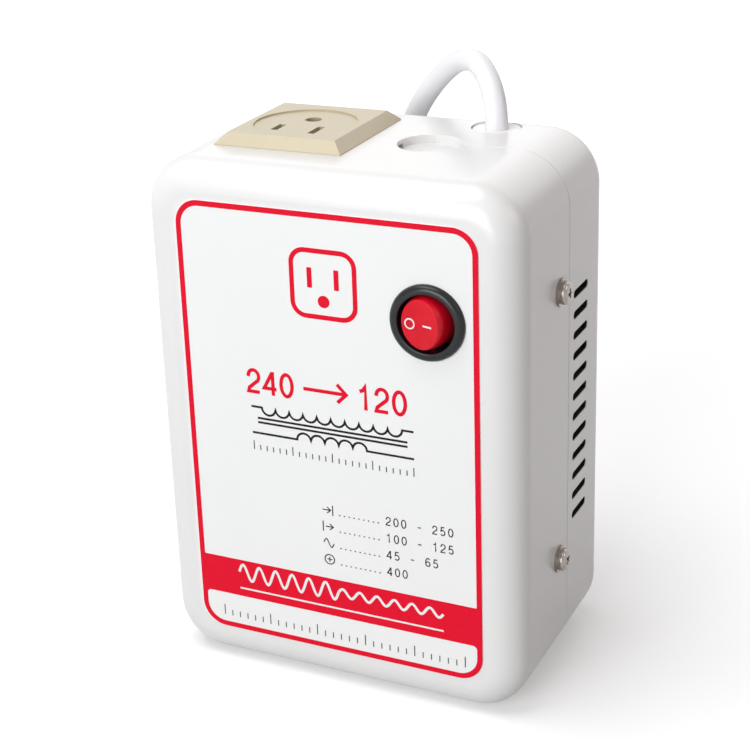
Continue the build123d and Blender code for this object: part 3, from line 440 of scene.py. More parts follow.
def addCamera(setup):
    size = setup["imagePixels"]
    data = bpy.data.cameras.new("photoCamera")
    data.sensor_width = setup["sensorMm"]
    data.lens = setup["focalPixels"] / size * data.sensor_width
    data.shift_x = (size / 2 - setup["centrePixels"][0]) / size
    data.shift_y = (setup["centrePixels"][1] - size / 2) / size
    data.clip_start = setup["clipStartM"]
    camera = bpy.data.objects.new("photoCamera", data)
    axes = (Vector(setup["right"]), -Vector(setup["down"]), -Vector(setup["forward"]))
    turn = Matrix([[axis[i] for axis in axes] for i in range(3)])
    camera.matrix_world = Matrix.Translation(setup["place"]) @ turn.to_4x4()
    scene.collection.objects.link(camera)
    scene.camera = camera


addCamera(cameraSetup)
scene.view_settings.view_transform = "Standard"

# Mains cord: one spline from the bushing, over and down the back, along the floor and into its coil
cordRoute = {
    "diameterMm": 7.0,
    "freePointsMm": [
        (29.5, 24.75, 165.1), (29.5, 24.75, 171.4), (25.0, 30.0, 179.2), (17.3, 38.0, 183.2),
        (5.0, 48.0, 178.8), (-11.0, 54.0, 160.0), (-21.0, 54.5, 128.0), (-13.0, 52.0, 93.0),
        (4.0, 50.0, 62.0), (16.0, 52.0, 36.0), (20.0, 64.0, 15.5), (20.0, 85.0, 3.55),
        (20.0, 108.0, 3.55),
    ],
    "coilCentreMm": (-24.0, 115.0),
    "coilRadiusMm": 44.0,
    "coilPitchMm": 7.6,
    "coilTurns": 3.25,
    "climbTurns": 0.5,
    "pointsPerTurn": 16,
    "floorMm": 3.55,
    "stubMm": 7.0,
    "roundSteps": 8,
    "lengthSteps": 6,
}


def coilPoint(turn, setup):
    middle = setup["coilTurns"] / 2
    blend = setup["climbTurns"] / 2
    fromMiddle = turn - middle
    if abs(fromMiddle) < blend:
        gain = (fromMiddle ** 2 / blend + blend) / 2
        share = (fromMiddle + blend) / (2 * blend)
        rise = share * share * (3 - 2 * share)
    else:
        gain = abs(fromMiddle)
        rise = 1.0 if fromMiddle > 0 else 0.0
    # the control points stand out a little, since the spline runs inside them
    standOut = 1 / math.cos(math.pi / setup["pointsPerTurn"])
    radius = (setup["coilRadiusMm"] + setup["coilPitchMm"] * (gain - middle)) * (1 + (standOut - 1) / 2)
    angle = 2 * math.pi * turn
    return (
        setup["coilCentreMm"][0] + radius * math.cos(angle),
        setup["coilCentreMm"][1] + radius * math.sin(angle),
        setup["floorMm"] + setup["coilPitchMm"] * rise,
    )


def buildCord(setup):
    points = list(setup["freePointsMm"])
    steps = round(setup["coilTurns"] * setup["pointsPerTurn"])
    for i in range(steps + 1):
        points.append(coilPoint(i / setup["pointsPerTurn"], setup))
    end = coilPoint(setup["coilTurns"], setup)
    centre, radius = setup["coilCentreMm"], setup["coilRadiusMm"]
    top = setup["floorMm"] + setup["coilPitchMm"]
    points[-1] = (centre[0], centre[1] + radius, top)
    points.append((centre[0] - setup["stubMm"], centre[1] + radius, top))
    curve = bpy.data.curves.new("mainsCord", "CURVE")
    curve.dimensions = "3D"
    curve.bevel_depth = setup["diameterMm"] / 2 * mm
    curve.bevel_resolution = setup["roundSteps"]
    curve.use_fill_caps = True
    spline = curve.splines.new("NURBS")
    spline.points.add(len(points) - 1)
    for point, (x, y, z) in zip(spline.points, points):
        point.co = (x * mm, y * mm, z * mm, 1)
    spline.order_u = 3
    spline.use_endpoint_u = True
    spline.resolution_u = setup["lengthSteps"]
    spline.use_smooth = True
    curve.materials.append(whiteSheath)
    cord = bpy.data.objects.new("mainsCord", curve)
    scene.collection.objects.link(cord)
    return cord


mainsCord = buildCord(cordRoute)
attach(mainsCord, "case")
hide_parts("mains_cord", "cord_coil")
print("cord: one spline of", len(mainsCord.data.splines[0].points), "points")


def linkMesh(name, build, finish, body):
    mesh = bpy.data.meshes.new(name)
    build.to_mesh(mesh)
    build.free()
    mesh.materials.append(finish)
    piece = bpy.data.objects.new(name, mesh)
    scene.collection.objects.link(piece)
    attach(piece, body)
    return piece


def printedRing(outer, inner, toWorld):
    # a flat ring of ink between two outlines with the same number of points
    build = bmesh.new()
    outerVerts = [build.verts.new(toWorld(x, z)) for x, z in outer]
    innerVerts = [build.verts.new(toWorld(x, z)) for x, z in inner]
    count = len(outer)
    for i in range(count):
        j = (i + 1) % count
        build.faces.new((outerVerts[i], outerVerts[j], innerVerts[j], innerVerts[i]))
    return build


# Print on the label: red frame and band, plain numbers and line drawings, no words
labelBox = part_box("front_label")
labelPrint = {
    "liftMm": 0.03,
    "lineMm": 1.75,
    "leftMm": 0.7,
    "radiusMm": 7.8,
    "bandMm": (24.0, 36.9),
    "cornerMm": 1.4,
    "bandCornerMm": 0.3,
}
inkY = labelBox[0][1] - labelPrint["liftMm"] * mm


def onLabel(x, z):
    return Vector((x * mm, inkY, z * mm))


def inkSheet(name, outlines, finish):
    # one flat sheet of ink: the first outline filled, less the others
    curve = bpy.data.curves.new(name, "CURVE")
    curve.dimensions = "2D"
    curve.fill_mode = "BOTH"
    for outline in outlines:
        spline = curve.splines.new("POLY")
        spline.points.add(len(outline) - 1)
        for point, (x, z) in zip(spline.points, outline):
            point.co = (x * mm, z * mm, 0, 1)
        spline.use_cyclic_u = True
    shape = bpy.data.objects.new(name, curve)
    scene.collection.objects.link(shape)
    bpy.context.view_layer.update()
    mesh = bpy.data.meshes.new_from_object(shape)
    bpy.data.objects.remove(shape)
    mesh.transform(Matrix.Translation((0, inkY, 0)) @ Matrix.Rotation(math.radians(90), 4, "X"))
    mesh.materials.clear()
    mesh.materials.append(finish)
    piece = bpy.data.objects.new(name, mesh)
    scene.collection.objects.link(piece)
    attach(piece, "case")


def roundedOutline(low, high, radii, steps=10):
    # corners in the order upper right, upper left, lower left, lower right
    points = []
    corners = ((high[0], high[1]), (low[0], high[1]), (low[0], low[1]), (high[0], low[1]))
    for i, ((cornerX, cornerZ), radius) in enumerate(zip(corners, radii)):
        inwardX = -1 if i in (0, 3) else 1
        inwardZ = -1 if i in (0, 1) else 1
        for step in range(steps + 1):
            angle = math.radians(90 * i + 90 * step / steps)
            points.append((
                cornerX + inwardX * radius + radius * math.cos(angle),
                cornerZ + inwardZ * radius + radius * math.sin(angle),
            ))
    return points


def arcPoints(x, z, radius, start, end, steps=24):
    return [
        (x + radius * math.cos(math.radians(start + (end - start) * i / steps)),
         z + radius * math.sin(math.radians(start + (end - start) * i / steps)))
        for i in range(steps + 1)
    ]


def inkStroke(build, points, thickness, lift=0, sharpest=0.45):
    # a line of even thickness, mitred at its corners, but not past the sharpest
    rise = Vector((0, -lift * mm, 0))
    left, right = [], []
    last = len(points) - 1
    loop = math.dist(points[0], points[last]) < 0.001
    for i, point in enumerate(points):
        here = Vector(point)
        behind = points[i - 1] if i else points[last - 1] if loop else None
        beyond = points[i + 1] if i < last else points[1] if loop else None
        back = (here - Vector(behind)).normalized() if behind else None
        ahead = (Vector(beyond) - here).normalized() if beyond else None
        way = ((back or ahead) + (ahead or back)).normalized()
        reach = thickness / 2 / max(sharpest, way.dot(ahead or back))
        across = Vector((-way.y, way.x)) * reach
        left.append(build.verts.new(onLabel(*(here + across)) + rise))
        right.append(build.verts.new(onLabel(*(here - across)) + rise))
    for i in range(len(points) - 1):
        build.faces.new((left[i], right[i], right[i + 1], left[i + 1]))


def inkPiece(name, strokes, thickness, finish, liftMm=0.004, lifts=4):
    # each line of a drawing lies a hair above the last, so that none meet in one plane
    build = bmesh.new()
    for i, points in enumerate(strokes):
        inkStroke(build, points, thickness, liftMm * (i % lifts))
    linkMesh(name, build, finish, "case")


labelLow = (labelBox[0][0] / mm + labelPrint["leftMm"], labelBox[0][2] / mm)
labelHigh = (labelBox[1][0] / mm, labelBox[1][2] / mm)
line = labelPrint["lineMm"]
outerRadius = labelPrint["radiusMm"]
innerRadius = outerRadius - line
small = labelPrint["cornerMm"]
bandCorner = labelPrint["bandCornerMm"]
bandLow, bandHigh = labelPrint["bandMm"]
insideLow = (labelLow[0] + line, labelLow[1] + line)
insideHigh = (labelHigh[0] - line, labelHigh[1] - line)
inkSheet(
    "labelFrame",
    [
        roundedOutline(labelLow, labelHigh, [outerRadius] * 4),
        roundedOutline(
            (insideLow[0], bandHigh), insideHigh, [innerRadius, innerRadius, bandCorner, bandCorner],
        ),
        roundedOutline(insideLow, (insideHigh[0], bandLow), [small, small, innerRadius, innerRadius]),
    ],
    redInk,
)


def figureArc(x, z, across, up, start, end, step):
    turns = [math.radians(degrees) for degrees in range(start, end, step)]
    return [(x + across * math.cos(turn), z + up * math.sin(turn)) for turn in turns]


# figures in strokes, in a cell that is 1 high and about 0.6 wide
figureStrokes = {
    "0": [figureArc(0.3, 0.5, 0.235, 0.45, 90, 451, 15)],
    "1": [[(0.1, 0.74), (0.24, 0.79), (0.34, 0.97), (0.34, 0.0)]],
    "2": [
        [(0.07, 0.66)] + figureArc(0.3, 0.69, 0.225, 0.26, 170, -41, -15)
        + [(0.1, 0.2), (0.06, 0.05), (0.54, 0.05)],
    ],
    "4": [[(0.42, 0.0), (0.42, 0.98)], [(0.4, 0.93), (0.04, 0.27), (0.57, 0.27)]],
    "5": [[(0.5, 0.95), (0.16, 0.95), (0.11, 0.53)] + figureArc(0.29, 0.33, 0.235, 0.28, 130, -151, -20)],
    "6": [
        [(0.51, 0.82)] + figureArc(0.3, 0.5, 0.235, 0.45, 60, 181, 15)
        + figureArc(0.3, 0.31, 0.235, 0.26, 180, 541, 20),
    ],
    "-": [[(0.12, 0.42), (0.5, 0.42)]],
    " ": [],
}


def figures(words, x, z, height, advance):
    strokes = []
    for i, sign in enumerate(words):
        for points in figureStrokes[sign]:
            strokes.append([(x + (i * advance + px) * height, z + pz * height) for px, pz in points])
    return strokes


# the large numbers and the arrow from one to the other
headline = {
    "inputMm": (-26.6, 95.3),
    "outputMm": (10.0, 95.3),
    "heightMm": 7.8,
    "advanceShare": 0.71,
    "strokeMm": 1.15,
    "arrowSpanMm": (-7.6, 6.4),
    "arrowZMm": 99.2,
    "arrowHeadMm": 2.9,
    "shaftGapMm": 0.8,
}
for name, words, place in (
    ("headlineInput", "240", headline["inputMm"]), ("headlineOutput", "120", headline["outputMm"]),
):
    strokes = figures(words, *place, headline["heightMm"], headline["advanceShare"])
    inkPiece(name, strokes, headline["strokeMm"], redInk)
arrowStart, arrowEnd = headline["arrowSpanMm"]
arrowZ, arrowHead = headline["arrowZMm"], headline["arrowHeadMm"]
headStart = arrowEnd - arrowHead
inkPiece(
    "headlineArrow",
    [
        [(arrowStart, arrowZ), (arrowEnd - headline["shaftGapMm"], arrowZ)],
        [(headStart, arrowZ + arrowHead), (arrowEnd, arrowZ), (headStart, arrowZ - arrowHead)],
    ],
    headline["strokeMm"], redInk,
)

# drawing of an outlet at the head of the label
outletDrawing = {
    "centreMm": (0.4, 132.6),
    "sizeMm": 21.6,
    "radiusMm": 5.0,
    "lineMm": 1.5,
    "slotMm": (1.6, 6.2),
    "slotPlaceMm": (4.3, 1.8),
    "slotCornerMm": 0.2,
    "holeDropMm": -5.2,
    "holeRadiusMm": 1.9,
}


def drawOutlet(setup):
    x, z = setup["centreMm"]

    def squareOutline(half, radius):
        return roundedOutline((x - half, z - half), (x + half, z + half), [radius] * 4)

    half, line, radius = setup["sizeMm"] / 2, setup["lineMm"], setup["radiusMm"]
    outlines = [squareOutline(half, radius), squareOutline(half - line, radius - line)]
    inkSheet("outletDrawing", outlines, redInk)
    halfWidth, halfHeight = [size / 2 for size in setup["slotMm"]]
    offset, rise = setup["slotPlaceMm"]
    for name, side in (("outletDrawingLeft", -1), ("outletDrawingRight", 1)):
        slotX, slotZ = x + side * offset, z + rise
        low = (slotX - halfWidth, slotZ - halfHeight)
        high = (slotX + halfWidth, slotZ + halfHeight)
        inkSheet(name, [roundedOutline(low, high, [setup["slotCornerMm"]] * 4)], redInk)
    hole = arcPoints(x, z + setup["holeDropMm"], setup["holeRadiusMm"], 0, 360, 32)[:-1]
    inkSheet("outletDrawingEarth", [hole], redInk)


drawOutlet(outletDrawing)

# circuit drawing of the transformer, ten loops to five with the core's two lines between
windingDrawing = {
    "spanMm": (-25.6, 27.6),
    "inputZMm": 90.8,
    "inputLoops": 10,
    "outputZMm": 82.2,
    "outputLoops": 5,
    "coreZMm": (87.2, 85.8),
    "coreInsetMm": 2,
    "loopMm": 2.3,
    "strokeMm": 0.7,
}


def windingStroke(setup, z, loops, side):
    start, end = setup["spanMm"]
    middle, radius = (start + end) / 2, setup["loopMm"]
    first = middle - loops * radius
    points = [(start, z), (first, z)]
    for i in range(loops):
        points += arcPoints(first + radius * (2 * i + 1), z, radius, 180, 180 + 180 * side, 10)[1:]
    points.append((end, z))
    return points


windings = [
    windingStroke(windingDrawing, windingDrawing["inputZMm"], windingDrawing["inputLoops"], 1),
    windingStroke(windingDrawing, windingDrawing["outputZMm"], windingDrawing["outputLoops"], -1),
]
coreStart = windingDrawing["spanMm"][0] + windingDrawing["coreInsetMm"]
coreEnd = windingDrawing["spanMm"][1] - windingDrawing["coreInsetMm"]
coreLines = [[(coreStart, z), (coreEnd, z)] for z in windingDrawing["coreZMm"]]
inkPiece("windingDrawing", windings + coreLines, windingDrawing["strokeMm"], blackInk)

# a plain scale of ticks below the drawing, and another at the foot of the label
tickScales = {
    "drawingScale": {"spanMm": (-25.4, 27.4), "zMm": (76.5, 78.2), "longMm": 79.4, "ticks": 25},
    "footScale": {"spanMm": (-39.8, 42.6), "zMm": (16.0, 18.0), "longMm": 19.6, "ticks": 31},
}
tickStrokeMm = 0.32
longEvery = 6
for name, setup in tickScales.items():
    start, end = setup["spanMm"]
    low, high = setup["zMm"]
    ticks = []
    for i in range(setup["ticks"]):
        x = start + (end - start) * i / (setup["ticks"] - 1)
        ticks.append([(x, low), (x, high if i % longEvery else setup["longMm"])])
    inkPiece(name, ticks, tickStrokeMm, blackInk)

# rating rows: a small sign, a leader of dots and plain numbers
ratingRows = {
    "numbers": ("200 - 250", "100 - 125", "45 - 65", "400"),
    "numbersMm": 17.8,
    "baselinesMm": (58.9, 53.3, 47.7, 42.1),
    "heightMm": 2.9,
    "advanceShare": 0.86,
    "strokeMm": 0.36,
    "signXMm": -1.4,
    "signSizeMm": 1.7,
    "leaderMm": (2.6, 15.4),
    "dots": 9,
    "dotMm": 0.5,
    "dotRiseMm": 0.3,
}
# the signs in strokes, from -1 to 1: an arrow in, an arrow out, a wave, and a cross in a ring
rowSigns = (
    [[(-1, 0), (0.6, 0)], [(-0.1, 0.6), (0.6, 0), (-0.1, -0.6)], [(1, -1), (1, 1)]],
    [[(-0.5, 0), (1, 0)], [(0.3, 0.6), (1, 0), (0.3, -0.6)], [(-1, -1), (-1, 1)]],
    [[(i / 8 - 1, 0.8 * math.sin(math.pi * i / 8)) for i in range(17)]],
    [arcPoints(0, 0, 0.95, 0, 360, 24), [(-0.5, 0), (0.5, 0)], [(0, -0.5), (0, 0.5)]],
)


def ratingRow(setup, row):
    baseline = setup["baselinesMm"][row]
    strokes = figures(
        setup["numbers"][row], setup["numbersMm"], baseline, setup["heightMm"], setup["advanceShare"],
    )
    signX, signZ, size = setup["signXMm"], baseline + setup["heightMm"] / 2, setup["signSizeMm"]
    for points in rowSigns[row]:
        strokes.append([(signX + x * size, signZ + z * size) for x, z in points])
    start, end = setup["leaderMm"]
    half, z = setup["dotMm"] / 2, baseline + setup["dotRiseMm"]
    for dot in range(setup["dots"]):
        x = start + (end - start) * dot / (setup["dots"] - 1)
        strokes.append([(x - half, z), (x + half, z)])
    return strokes


for row in range(len(rowSigns)):
    inkPiece("ratingRow" + str(row + 1), ratingRow(ratingRows, row), ratingRows["strokeMm"], blackInk)

# white wave in the band, its height halved half way along, over a plain line
bandWave = {
    "spanMm": (-33.6, 35.8),
    "zMm": 32.6,
    "heightsMm": (2.7, 1.35),
    "waves": 12,
    "stepsPerWave": 16,
    "strokeMm": 0.85,
    "ruleZMm": 26.9,
    "ruleStrokeMm": 0.6,
    "liftMm": 0.03,
}
inkY -= bandWave["liftMm"] * mm  # this ink lies on the band's red
waveSteps = bandWave["waves"] * bandWave["stepsPerWave"]
waveStart, waveEnd = bandWave["spanMm"]
wavePoints = []
for i in range(waveSteps + 1):
    rise = bandWave["heightsMm"][0 if i <= waveSteps / 2 else 1]
    wavePoints.append((
        waveStart + (waveEnd - waveStart) * i / waveSteps,
        bandWave["zMm"] + rise * math.sin(2 * math.pi * i / bandWave["stepsPerWave"]),
    ))
inkPiece("bandWave", [wavePoints], bandWave["strokeMm"], whiteInk)
ruleZ = bandWave["ruleZMm"]
inkPiece("bandRule", [[(waveStart, ruleZ), (waveEnd, ruleZ)]], bandWave["ruleStrokeMm"], whiteInk)
print("label: printed")

# Rocker: the plain one's button made taller, most at its face, so that it fills the mouth
rockerButton = {
    "pivotMm": (32.8, -34.65, 125.3),
    "tiltDegrees": -12.0,
    "backStretch": 1.07,
    "frontStretch": 1.16,
    "frontMm": 6.5,
    "pocketMm": 5.6,
    "trunnionMm": 1.3,
    "creaseDegrees": 30,
}


def buildRocker(setup):
    mesh = nodes["switch_rocker"].data.copy()
    mesh.name = "rockerButton"
    tilt = Matrix.Rotation(math.radians(setup["tiltDegrees"]), 4, "Z")
    pivot = Matrix.Translation(Vector(setup["pivotMm"]) * mm) @ tilt
    home = pivot.inverted() @ nodes["switch_rocker"].matrix_world
    for vertex in mesh.vertices:
        x, y, z = (home @ vertex.co) / mm
        # the middle, with the plunger's pocket, and the trunnions stay as they are
        if math.hypot(x, z) < setup["pocketMm"] or math.hypot(x, y) < setup["trunnionMm"]:
            continue
        share = min(1, max(0, -y / setup["frontMm"]))
        stretch = setup["backStretch"] + (setup["frontStretch"] - setup["backStretch"]) * share
        vertex.co = home.inverted() @ (Vector((x, y, z * stretch)) * mm)
    piece = bpy.data.objects.new("rockerButton", mesh)
    piece.matrix_world = nodes["switch_rocker"].matrix_world
    scene.collection.objects.link(piece)
    mesh.materials.clear()
    mesh.materials.append(redPolycarbonate)
    for polygon in mesh.polygons:
        polygon.use_smooth = True
    mesh.set_sharp_from_angle(angle=math.radians(setup["creaseDegrees"]))
    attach(piece, "rocker")
    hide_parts("switch_rocker")


buildRocker(rockerButton)
print("rocker: button filled out")

# Marks on the rocker's hollow face: a ring for off at its left and a bar for on at its right
rockerMarks = {
    "pivotMm": rockerButton["pivotMm"],
    "tiltDegrees": rockerButton["tiltDegrees"],
    "faceMm": 6.0,
    "hollowMm": 0.5,
    "halfWidthMm": 6.2,
    "ringPlaceMm": (-3.5, -0.2),
    "ringMm": (1.45, 0.42),
    "barSpanMm": (0.9, 3.9),
    "barMm": (-0.1, 0.55),
    "standOffMm": 0.03,
    "ringSteps": 40,
    "barSteps": 8,
}


def onRocker(x, z):
    tilt = math.radians(rockerMarks["tiltDegrees"])
    out = rockerMarks["faceMm"] + rockerMarks["hollowMm"] * (x / rockerMarks["halfWidthMm"]) ** 2
    out += rockerMarks["standOffMm"]
    pivotX, pivotY, pivotZ = rockerMarks["pivotMm"]
    return Vector((
        pivotX + x * math.cos(tilt) + out * math.sin(tilt),
        pivotY + x * math.sin(tilt) - out * math.cos(tilt),
        pivotZ + z,
    )) * mm


ringRadius, ringLine = rockerMarks["ringMm"]
ringEdges = [
    arcPoints(*rockerMarks["ringPlaceMm"], radius, 0, 360, rockerMarks["ringSteps"])[:-1]
    for radius in (ringRadius + ringLine / 2, ringRadius - ringLine / 2)
]
linkMesh("rockerOffMark", printedRing(*ringEdges, onRocker), whiteInk, "rocker")
barStart, barEnd = rockerMarks["barSpanMm"]
barZ, barLine = rockerMarks["barMm"]
barSteps = rockerMarks["barSteps"]
barPlaces = [barStart + (barEnd - barStart) * i / barSteps for i in range(barSteps + 1)]
bar = bmesh.new()
lower, upper = [
    [bar.verts.new(onRocker(x, z)) for x in barPlaces] for z in (barZ - barLine / 2, barZ + barLine / 2)
]
for i in range(barSteps):
    bar.faces.new((lower[i], lower[i + 1], upper[i + 1], upper[i]))
linkMesh("rockerOnMark", bar, whiteInk, "rocker")
print("rocker: marked")

# Plug neck: raised flex rings, moulded on the taper that the cord comes out of
neckRings = {
    "axisMm": (159.0, 11.15),
    "startMm": (-33.6, 4.3),
    "slope": 0.1,
    "fromTaperMm": 2.6,
    "rings": 5,
    "pitchMm": 3.0,
    "widthMm": 1.5,
    "heightMm": 0.6,
    "sunkMm": 0.25,
    "roundSteps": 40,
    "creaseDegrees": 40,
}


def buildNeckRings(setup):
    build = bmesh.new()
    axisY, axisZ = setup["axisMm"]
    firstX, startRadius = setup["startMm"]
    around = setup["roundSteps"]
    half, height, sunk = setup["widthMm"] / 2, setup["heightMm"], setup["sunkMm"]
    # a low rounded rib, from its front foot over its top to its back foot
    profile = [
        (half, -sunk), (0.75 * half, 0.6 * height), (0.3 * half, height),
        (-0.3 * half, height), (-0.75 * half, 0.6 * height), (-half, -sunk),
    ]
    for ring in range(setup["rings"]):
        x = firstX - ring * setup["pitchMm"]
        radius = startRadius + setup["slope"] * (ring * setup["pitchMm"] + setup["fromTaperMm"])
        rows = []
        for i in range(around):
            angle = 2 * math.pi * i / around
            rows.append([
                build.verts.new((
                    (x + along) * mm,
                    (axisY + (radius + out) * math.cos(angle)) * mm,
                    (axisZ + (radius + out) * math.sin(angle)) * mm,
                ))
                for along, out in profile
            ])
        for i in range(around):
            here, ahead = rows[i], rows[(i + 1) % around]
            for j in range(len(profile)):
                k = (j + 1) % len(profile)
                build.faces.new((here[j], here[k], ahead[k], ahead[j]))
    bmesh.ops.recalc_face_normals(build, faces=build.faces)
    for face in build.faces:
        face.smooth = True
    piece = linkMesh("plugNeckRings", build, whiteSheath, "case")
    piece.data.set_sharp_from_angle(angle=math.radians(setup["creaseDegrees"]))


buildNeckRings(neckRings)
print("plug: neck ringed")

# Side screws: pan heads with a cross recess, in place of the plain ones
sideScrews = {
    "headMm": 7.0,
    "headHeightMm": 2.2,
    "headEdgeMm": (1.5, 1.3),
    "shankMm": 3.8,
    "shankLengthMm": 8.0,
    "seatXMm": 60.8,
    "placesYzMm": [(-4.3, 39.35), (-4.3, 126.15)],
    "crossLengthMm": 4.0,
    "crossWidthMm": 0.95,
    "crossDepthMm": 1.4,
    "crossFootShare": 0.55,
    "turnsDegrees": (20, 65, 40, 5),
    "creaseDegrees": 35,
}


def panHeadProfile(setup):
    radius, height = setup["headMm"] / 2, setup["headHeightMm"]
    edge, drop = setup["headEdgeMm"]
    shank, foot = setup["shankMm"] / 2, -setup["shankLengthMm"]
    profile = [(0.0, height)]
    for i in range(1, 13):
        angle = math.radians(90 * i / 12)
        profile.append((radius - edge + edge * math.sin(angle), height - drop + drop * math.cos(angle)))
    return profile + [(radius, 0.0), (shank, 0.0), (shank, foot), (0.0, foot)]


def lathe(profile, steps=40):
    build = bmesh.new()
    verts = [build.verts.new((r, 0, h)) for r, h in profile]
    edges = [build.edges.new((a, b)) for a, b in zip(verts, verts[1:])]
    bmesh.ops.spin(
        build, geom=verts + edges, axis=(0, 0, 1), cent=(0, 0, 0), angle=2 * math.pi, steps=steps,
        use_duplicate=False,
    )
    bmesh.ops.remove_doubles(build, verts=build.verts, dist=1e-5)
    bmesh.ops.recalc_face_normals(build, faces=build.faces)
    return build


def crossCutter(setup):
    # two crossed blades that narrow towards their foot
    build = bmesh.new()
    length, across, depth = setup["crossLengthMm"], setup["crossWidthMm"], setup["crossDepthMm"]
    for turned in (0, 1):
        box = bmesh.ops.create_cube(build, size=1.0)["verts"]
        for v in box:
            shrink = setup["crossFootShare"] if v.co.z < 0 else 1.0
            x = v.co.x * length * shrink
            y = v.co.y * across
            v.co = Vector((x, y, v.co.z * depth * 2 + setup["headHeightMm"]))
            if turned:
                v.co = Vector((-v.co.y, v.co.x, v.co.z))
    return build


def buildSideScrews(setup):
    head = bpy.data.meshes.new("screwHead")
    build = lathe(panHeadProfile(setup))
    build.to_mesh(head)
    build.free()
    cutterMesh = bpy.data.meshes.new("crossCutter")
    build = crossCutter(setup)
    build.to_mesh(cutterMesh)
    build.free()
    screw = bpy.data.objects.new("screwHead", head)
    cutter = bpy.data.objects.new("crossCutter", cutterMesh)
    scene.collection.objects.link(screw)
    scene.collection.objects.link(cutter)
    recess = screw.modifiers.new("recess", "BOOLEAN")
    recess.object = cutter
    recess.operation = "DIFFERENCE"
    recess.solver = "EXACT"
    recess.use_self = True
    bpy.context.view_layer.update()
    shaped = bpy.data.meshes.new_from_object(screw.evaluated_get(bpy.context.evaluated_depsgraph_get()))
    bpy.data.objects.remove(screw)
    bpy.data.objects.remove(cutter)
    build = bmesh.new()
    turns = iter(setup["turnsDegrees"])
    for side in (-1, 1):
        for y, z in setup["placesYzMm"]:
            part = shaped.copy()
            part.transform(Matrix.Rotation(math.radians(next(turns)), 4, "Z"))
            part.transform(Matrix.Rotation(math.radians(90 * side), 4, "Y"))
            part.transform(Matrix.Translation((side * setup["seatXMm"], y, z)))
            build.from_mesh(part)
    bmesh.ops.scale(build, vec=(mm, mm, mm), verts=build.verts)
    for face in build.faces:
        face.smooth = True
    piece = linkMesh("sideScrews", build, nickelSteel, "case")
    piece.data.set_sharp_from_angle(angle=math.radians(setup["creaseDegrees"]))
    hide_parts("side_screws")


buildSideScrews(sideScrews)
print("side screws: pan heads cut")

# Smooth shading on the carried-over solids, with their true edges kept sharp
solidCreaseDegrees = 30
for item in nodes.values():
    for polygon in item.data.polygons:
        polygon.use_smooth = True
    item.data.set_sharp_from_angle(angle=math.radians(solidCreaseDegrees))

# Studio: a pale floor under a white surround, with soft boxes in front, above, beside and behind
studio = {
    "reachM": 20.0,
    "dropM": 0.0002,
    "paperHex": "#f4f4f4",
    "paperRoughness": 0.9,
    "bounceHex": "#a6a6a6",
    "glowFromM": (0.05, 1.6),
    "glow": (0.26, 1.0),
    "airColour": (1.0, 0.96, 0.95, 1),
    "airStrength": 0.16,
}
softBoxes = {
    "keyBox": {"placeM": (-0.14, -1.22, 0.42), "sizeM": (0.8, 0.8), "watts": 11, "colour": (0.97, 0.99, 1.0)},
    "topBox": {"placeM": (-0.3, -0.2, 1.2), "sizeM": (0.8, 0.8), "watts": 7.8, "colour": (0.98, 0.99, 1.0)},
    "sideBox": {"placeM": (1.2, 0.2, 0.8), "sizeM": (0.5, 0.5), "watts": 1.8, "colour": (1.0, 0.84, 0.8)},
    "backBox": {"placeM": (-0.1, 1.5, 1.0), "sizeM": (2.2, 1.0), "watts": 6, "colour": (1, 1, 1)},
}
softBoxAimM = (0, 0, 0.08)


def seenRays(tree):
    # 1 for what the camera sees, straight, mirrored or through glass
    path = addNode(tree, "LightPath")
    through = addNode(
        tree, "Math", {"operation": "MAXIMUM"},
        {0: (path, "Is Glossy Ray"), 1: (path, "Is Transmission Ray")},
    )
    return addNode(
        tree, "Math", {"operation": "MAXIMUM"}, {0: (path, "Is Camera Ray"), 1: (through, "Value")},
    )


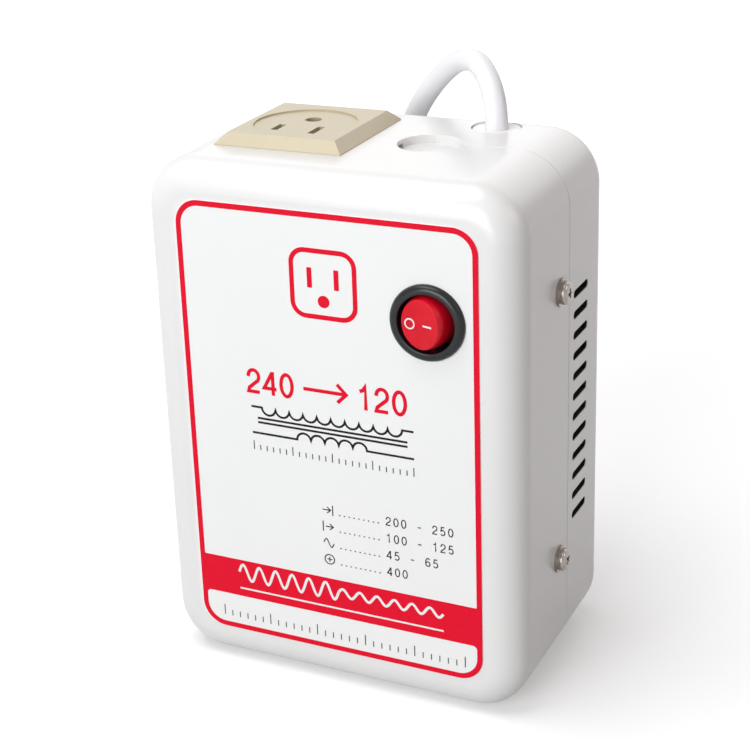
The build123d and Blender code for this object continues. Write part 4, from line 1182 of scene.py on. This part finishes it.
def makeStudioPaper(setup):
    # matt paper: white to the eye and in reflections, greyer where it only bounces light back
    material, tree, shader = startMaterial("studioPaper", setup["paperHex"], setup["paperRoughness"])
    place = addNode(tree, "TexCoord")
    tooth = addNode(tree, "TexNoise", {"Scale": 1 / (2 * mm)}, {"Vector": (place, "Object")})
    addNode(
        tree, "Bump", {"Strength": 0.05, "Distance": 0.05 * mm},
        {"Height": (tooth, "Fac")}, {"Normal": (shader, "Normal")},
    )
    # its glow grows with the distance from the object, so that the floor ends in plain white
    shader.inputs["Emission Color"].default_value = (1, 1, 1, 1)
    away = addNode(tree, "VectorMath", {"operation": "LENGTH"}, {0: (place, "Object")})
    near, far = setup["glowFromM"]
    weak, strong = setup["glow"]
    addNode(
        tree, "MapRange", {"From Min": near, "From Max": far, "To Min": weak, "To Max": strong},
        {"Value": (away, "Value")}, {"Result": (shader, "Emission Strength")},
    )
    bounce = addNode(tree, "BsdfDiffuse", {"Color": toLinear(setup["bounceHex"])})
    seen = seenRays(tree)
    addNode(
        tree, "MixShader", {}, {0: (seen, "Value"), 1: (bounce, "BSDF"), 2: (shader, "BSDF")},
        {"Shader": (tree.nodes["Material Output"], "Surface")},
    )
    return material


def addFloor(setup):
    mesh = bpy.data.meshes.new("studioFloor")
    build = bmesh.new()
    reach = setup["reachM"]
    corners = ((-reach, -reach, 0), (reach, -reach, 0), (reach, reach, 0), (-reach, reach, 0))
    build.faces.new([build.verts.new(corner) for corner in corners])
    build.to_mesh(mesh)
    build.free()
    mesh.materials.append(makeStudioPaper(setup))
    floor = bpy.data.objects.new("studioFloor", mesh)
    floor.location.z = -setup["dropM"]
    scene.collection.objects.link(floor)


def addSurround(setup):
    world = bpy.data.worlds.new("studioWorld")
    scene.world = world
    world.use_nodes = True
    tree = world.node_tree
    lit = tree.nodes["Background"]
    lit.inputs["Color"].default_value = setup["airColour"]
    lit.inputs["Strength"].default_value = setup["airStrength"]
    seen = addNode(tree, "Background", {"Color": (1, 1, 1, 1), "Strength": 1.0})
    addNode(
        tree, "MixShader", {},
        {0: (seenRays(tree), "Value"), 1: (lit, "Background"), 2: (seen, "Background")},
        {"Shader": (tree.nodes["World Output"], "Surface")},
    )


def addSoftBox(name, setup, aim):
    data = bpy.data.lights.new(name, "AREA")
    data.shape = "RECTANGLE"
    data.size, data.size_y = setup["sizeM"]
    data.energy = setup["watts"]
    data.color = setup["colour"]
    lamp = bpy.data.objects.new(name, data)
    lamp.location = setup["placeM"]
    facing = Vector(aim) - Vector(setup["placeM"])
    lamp.rotation_euler = facing.to_track_quat("-Z", "Y").to_euler()
    scene.collection.objects.link(lamp)


addFloor(studio)
addSurround(studio)
for name, setup in softBoxes.items():
    addSoftBox(name, setup, softBoxAimM)
print("studio: lit")
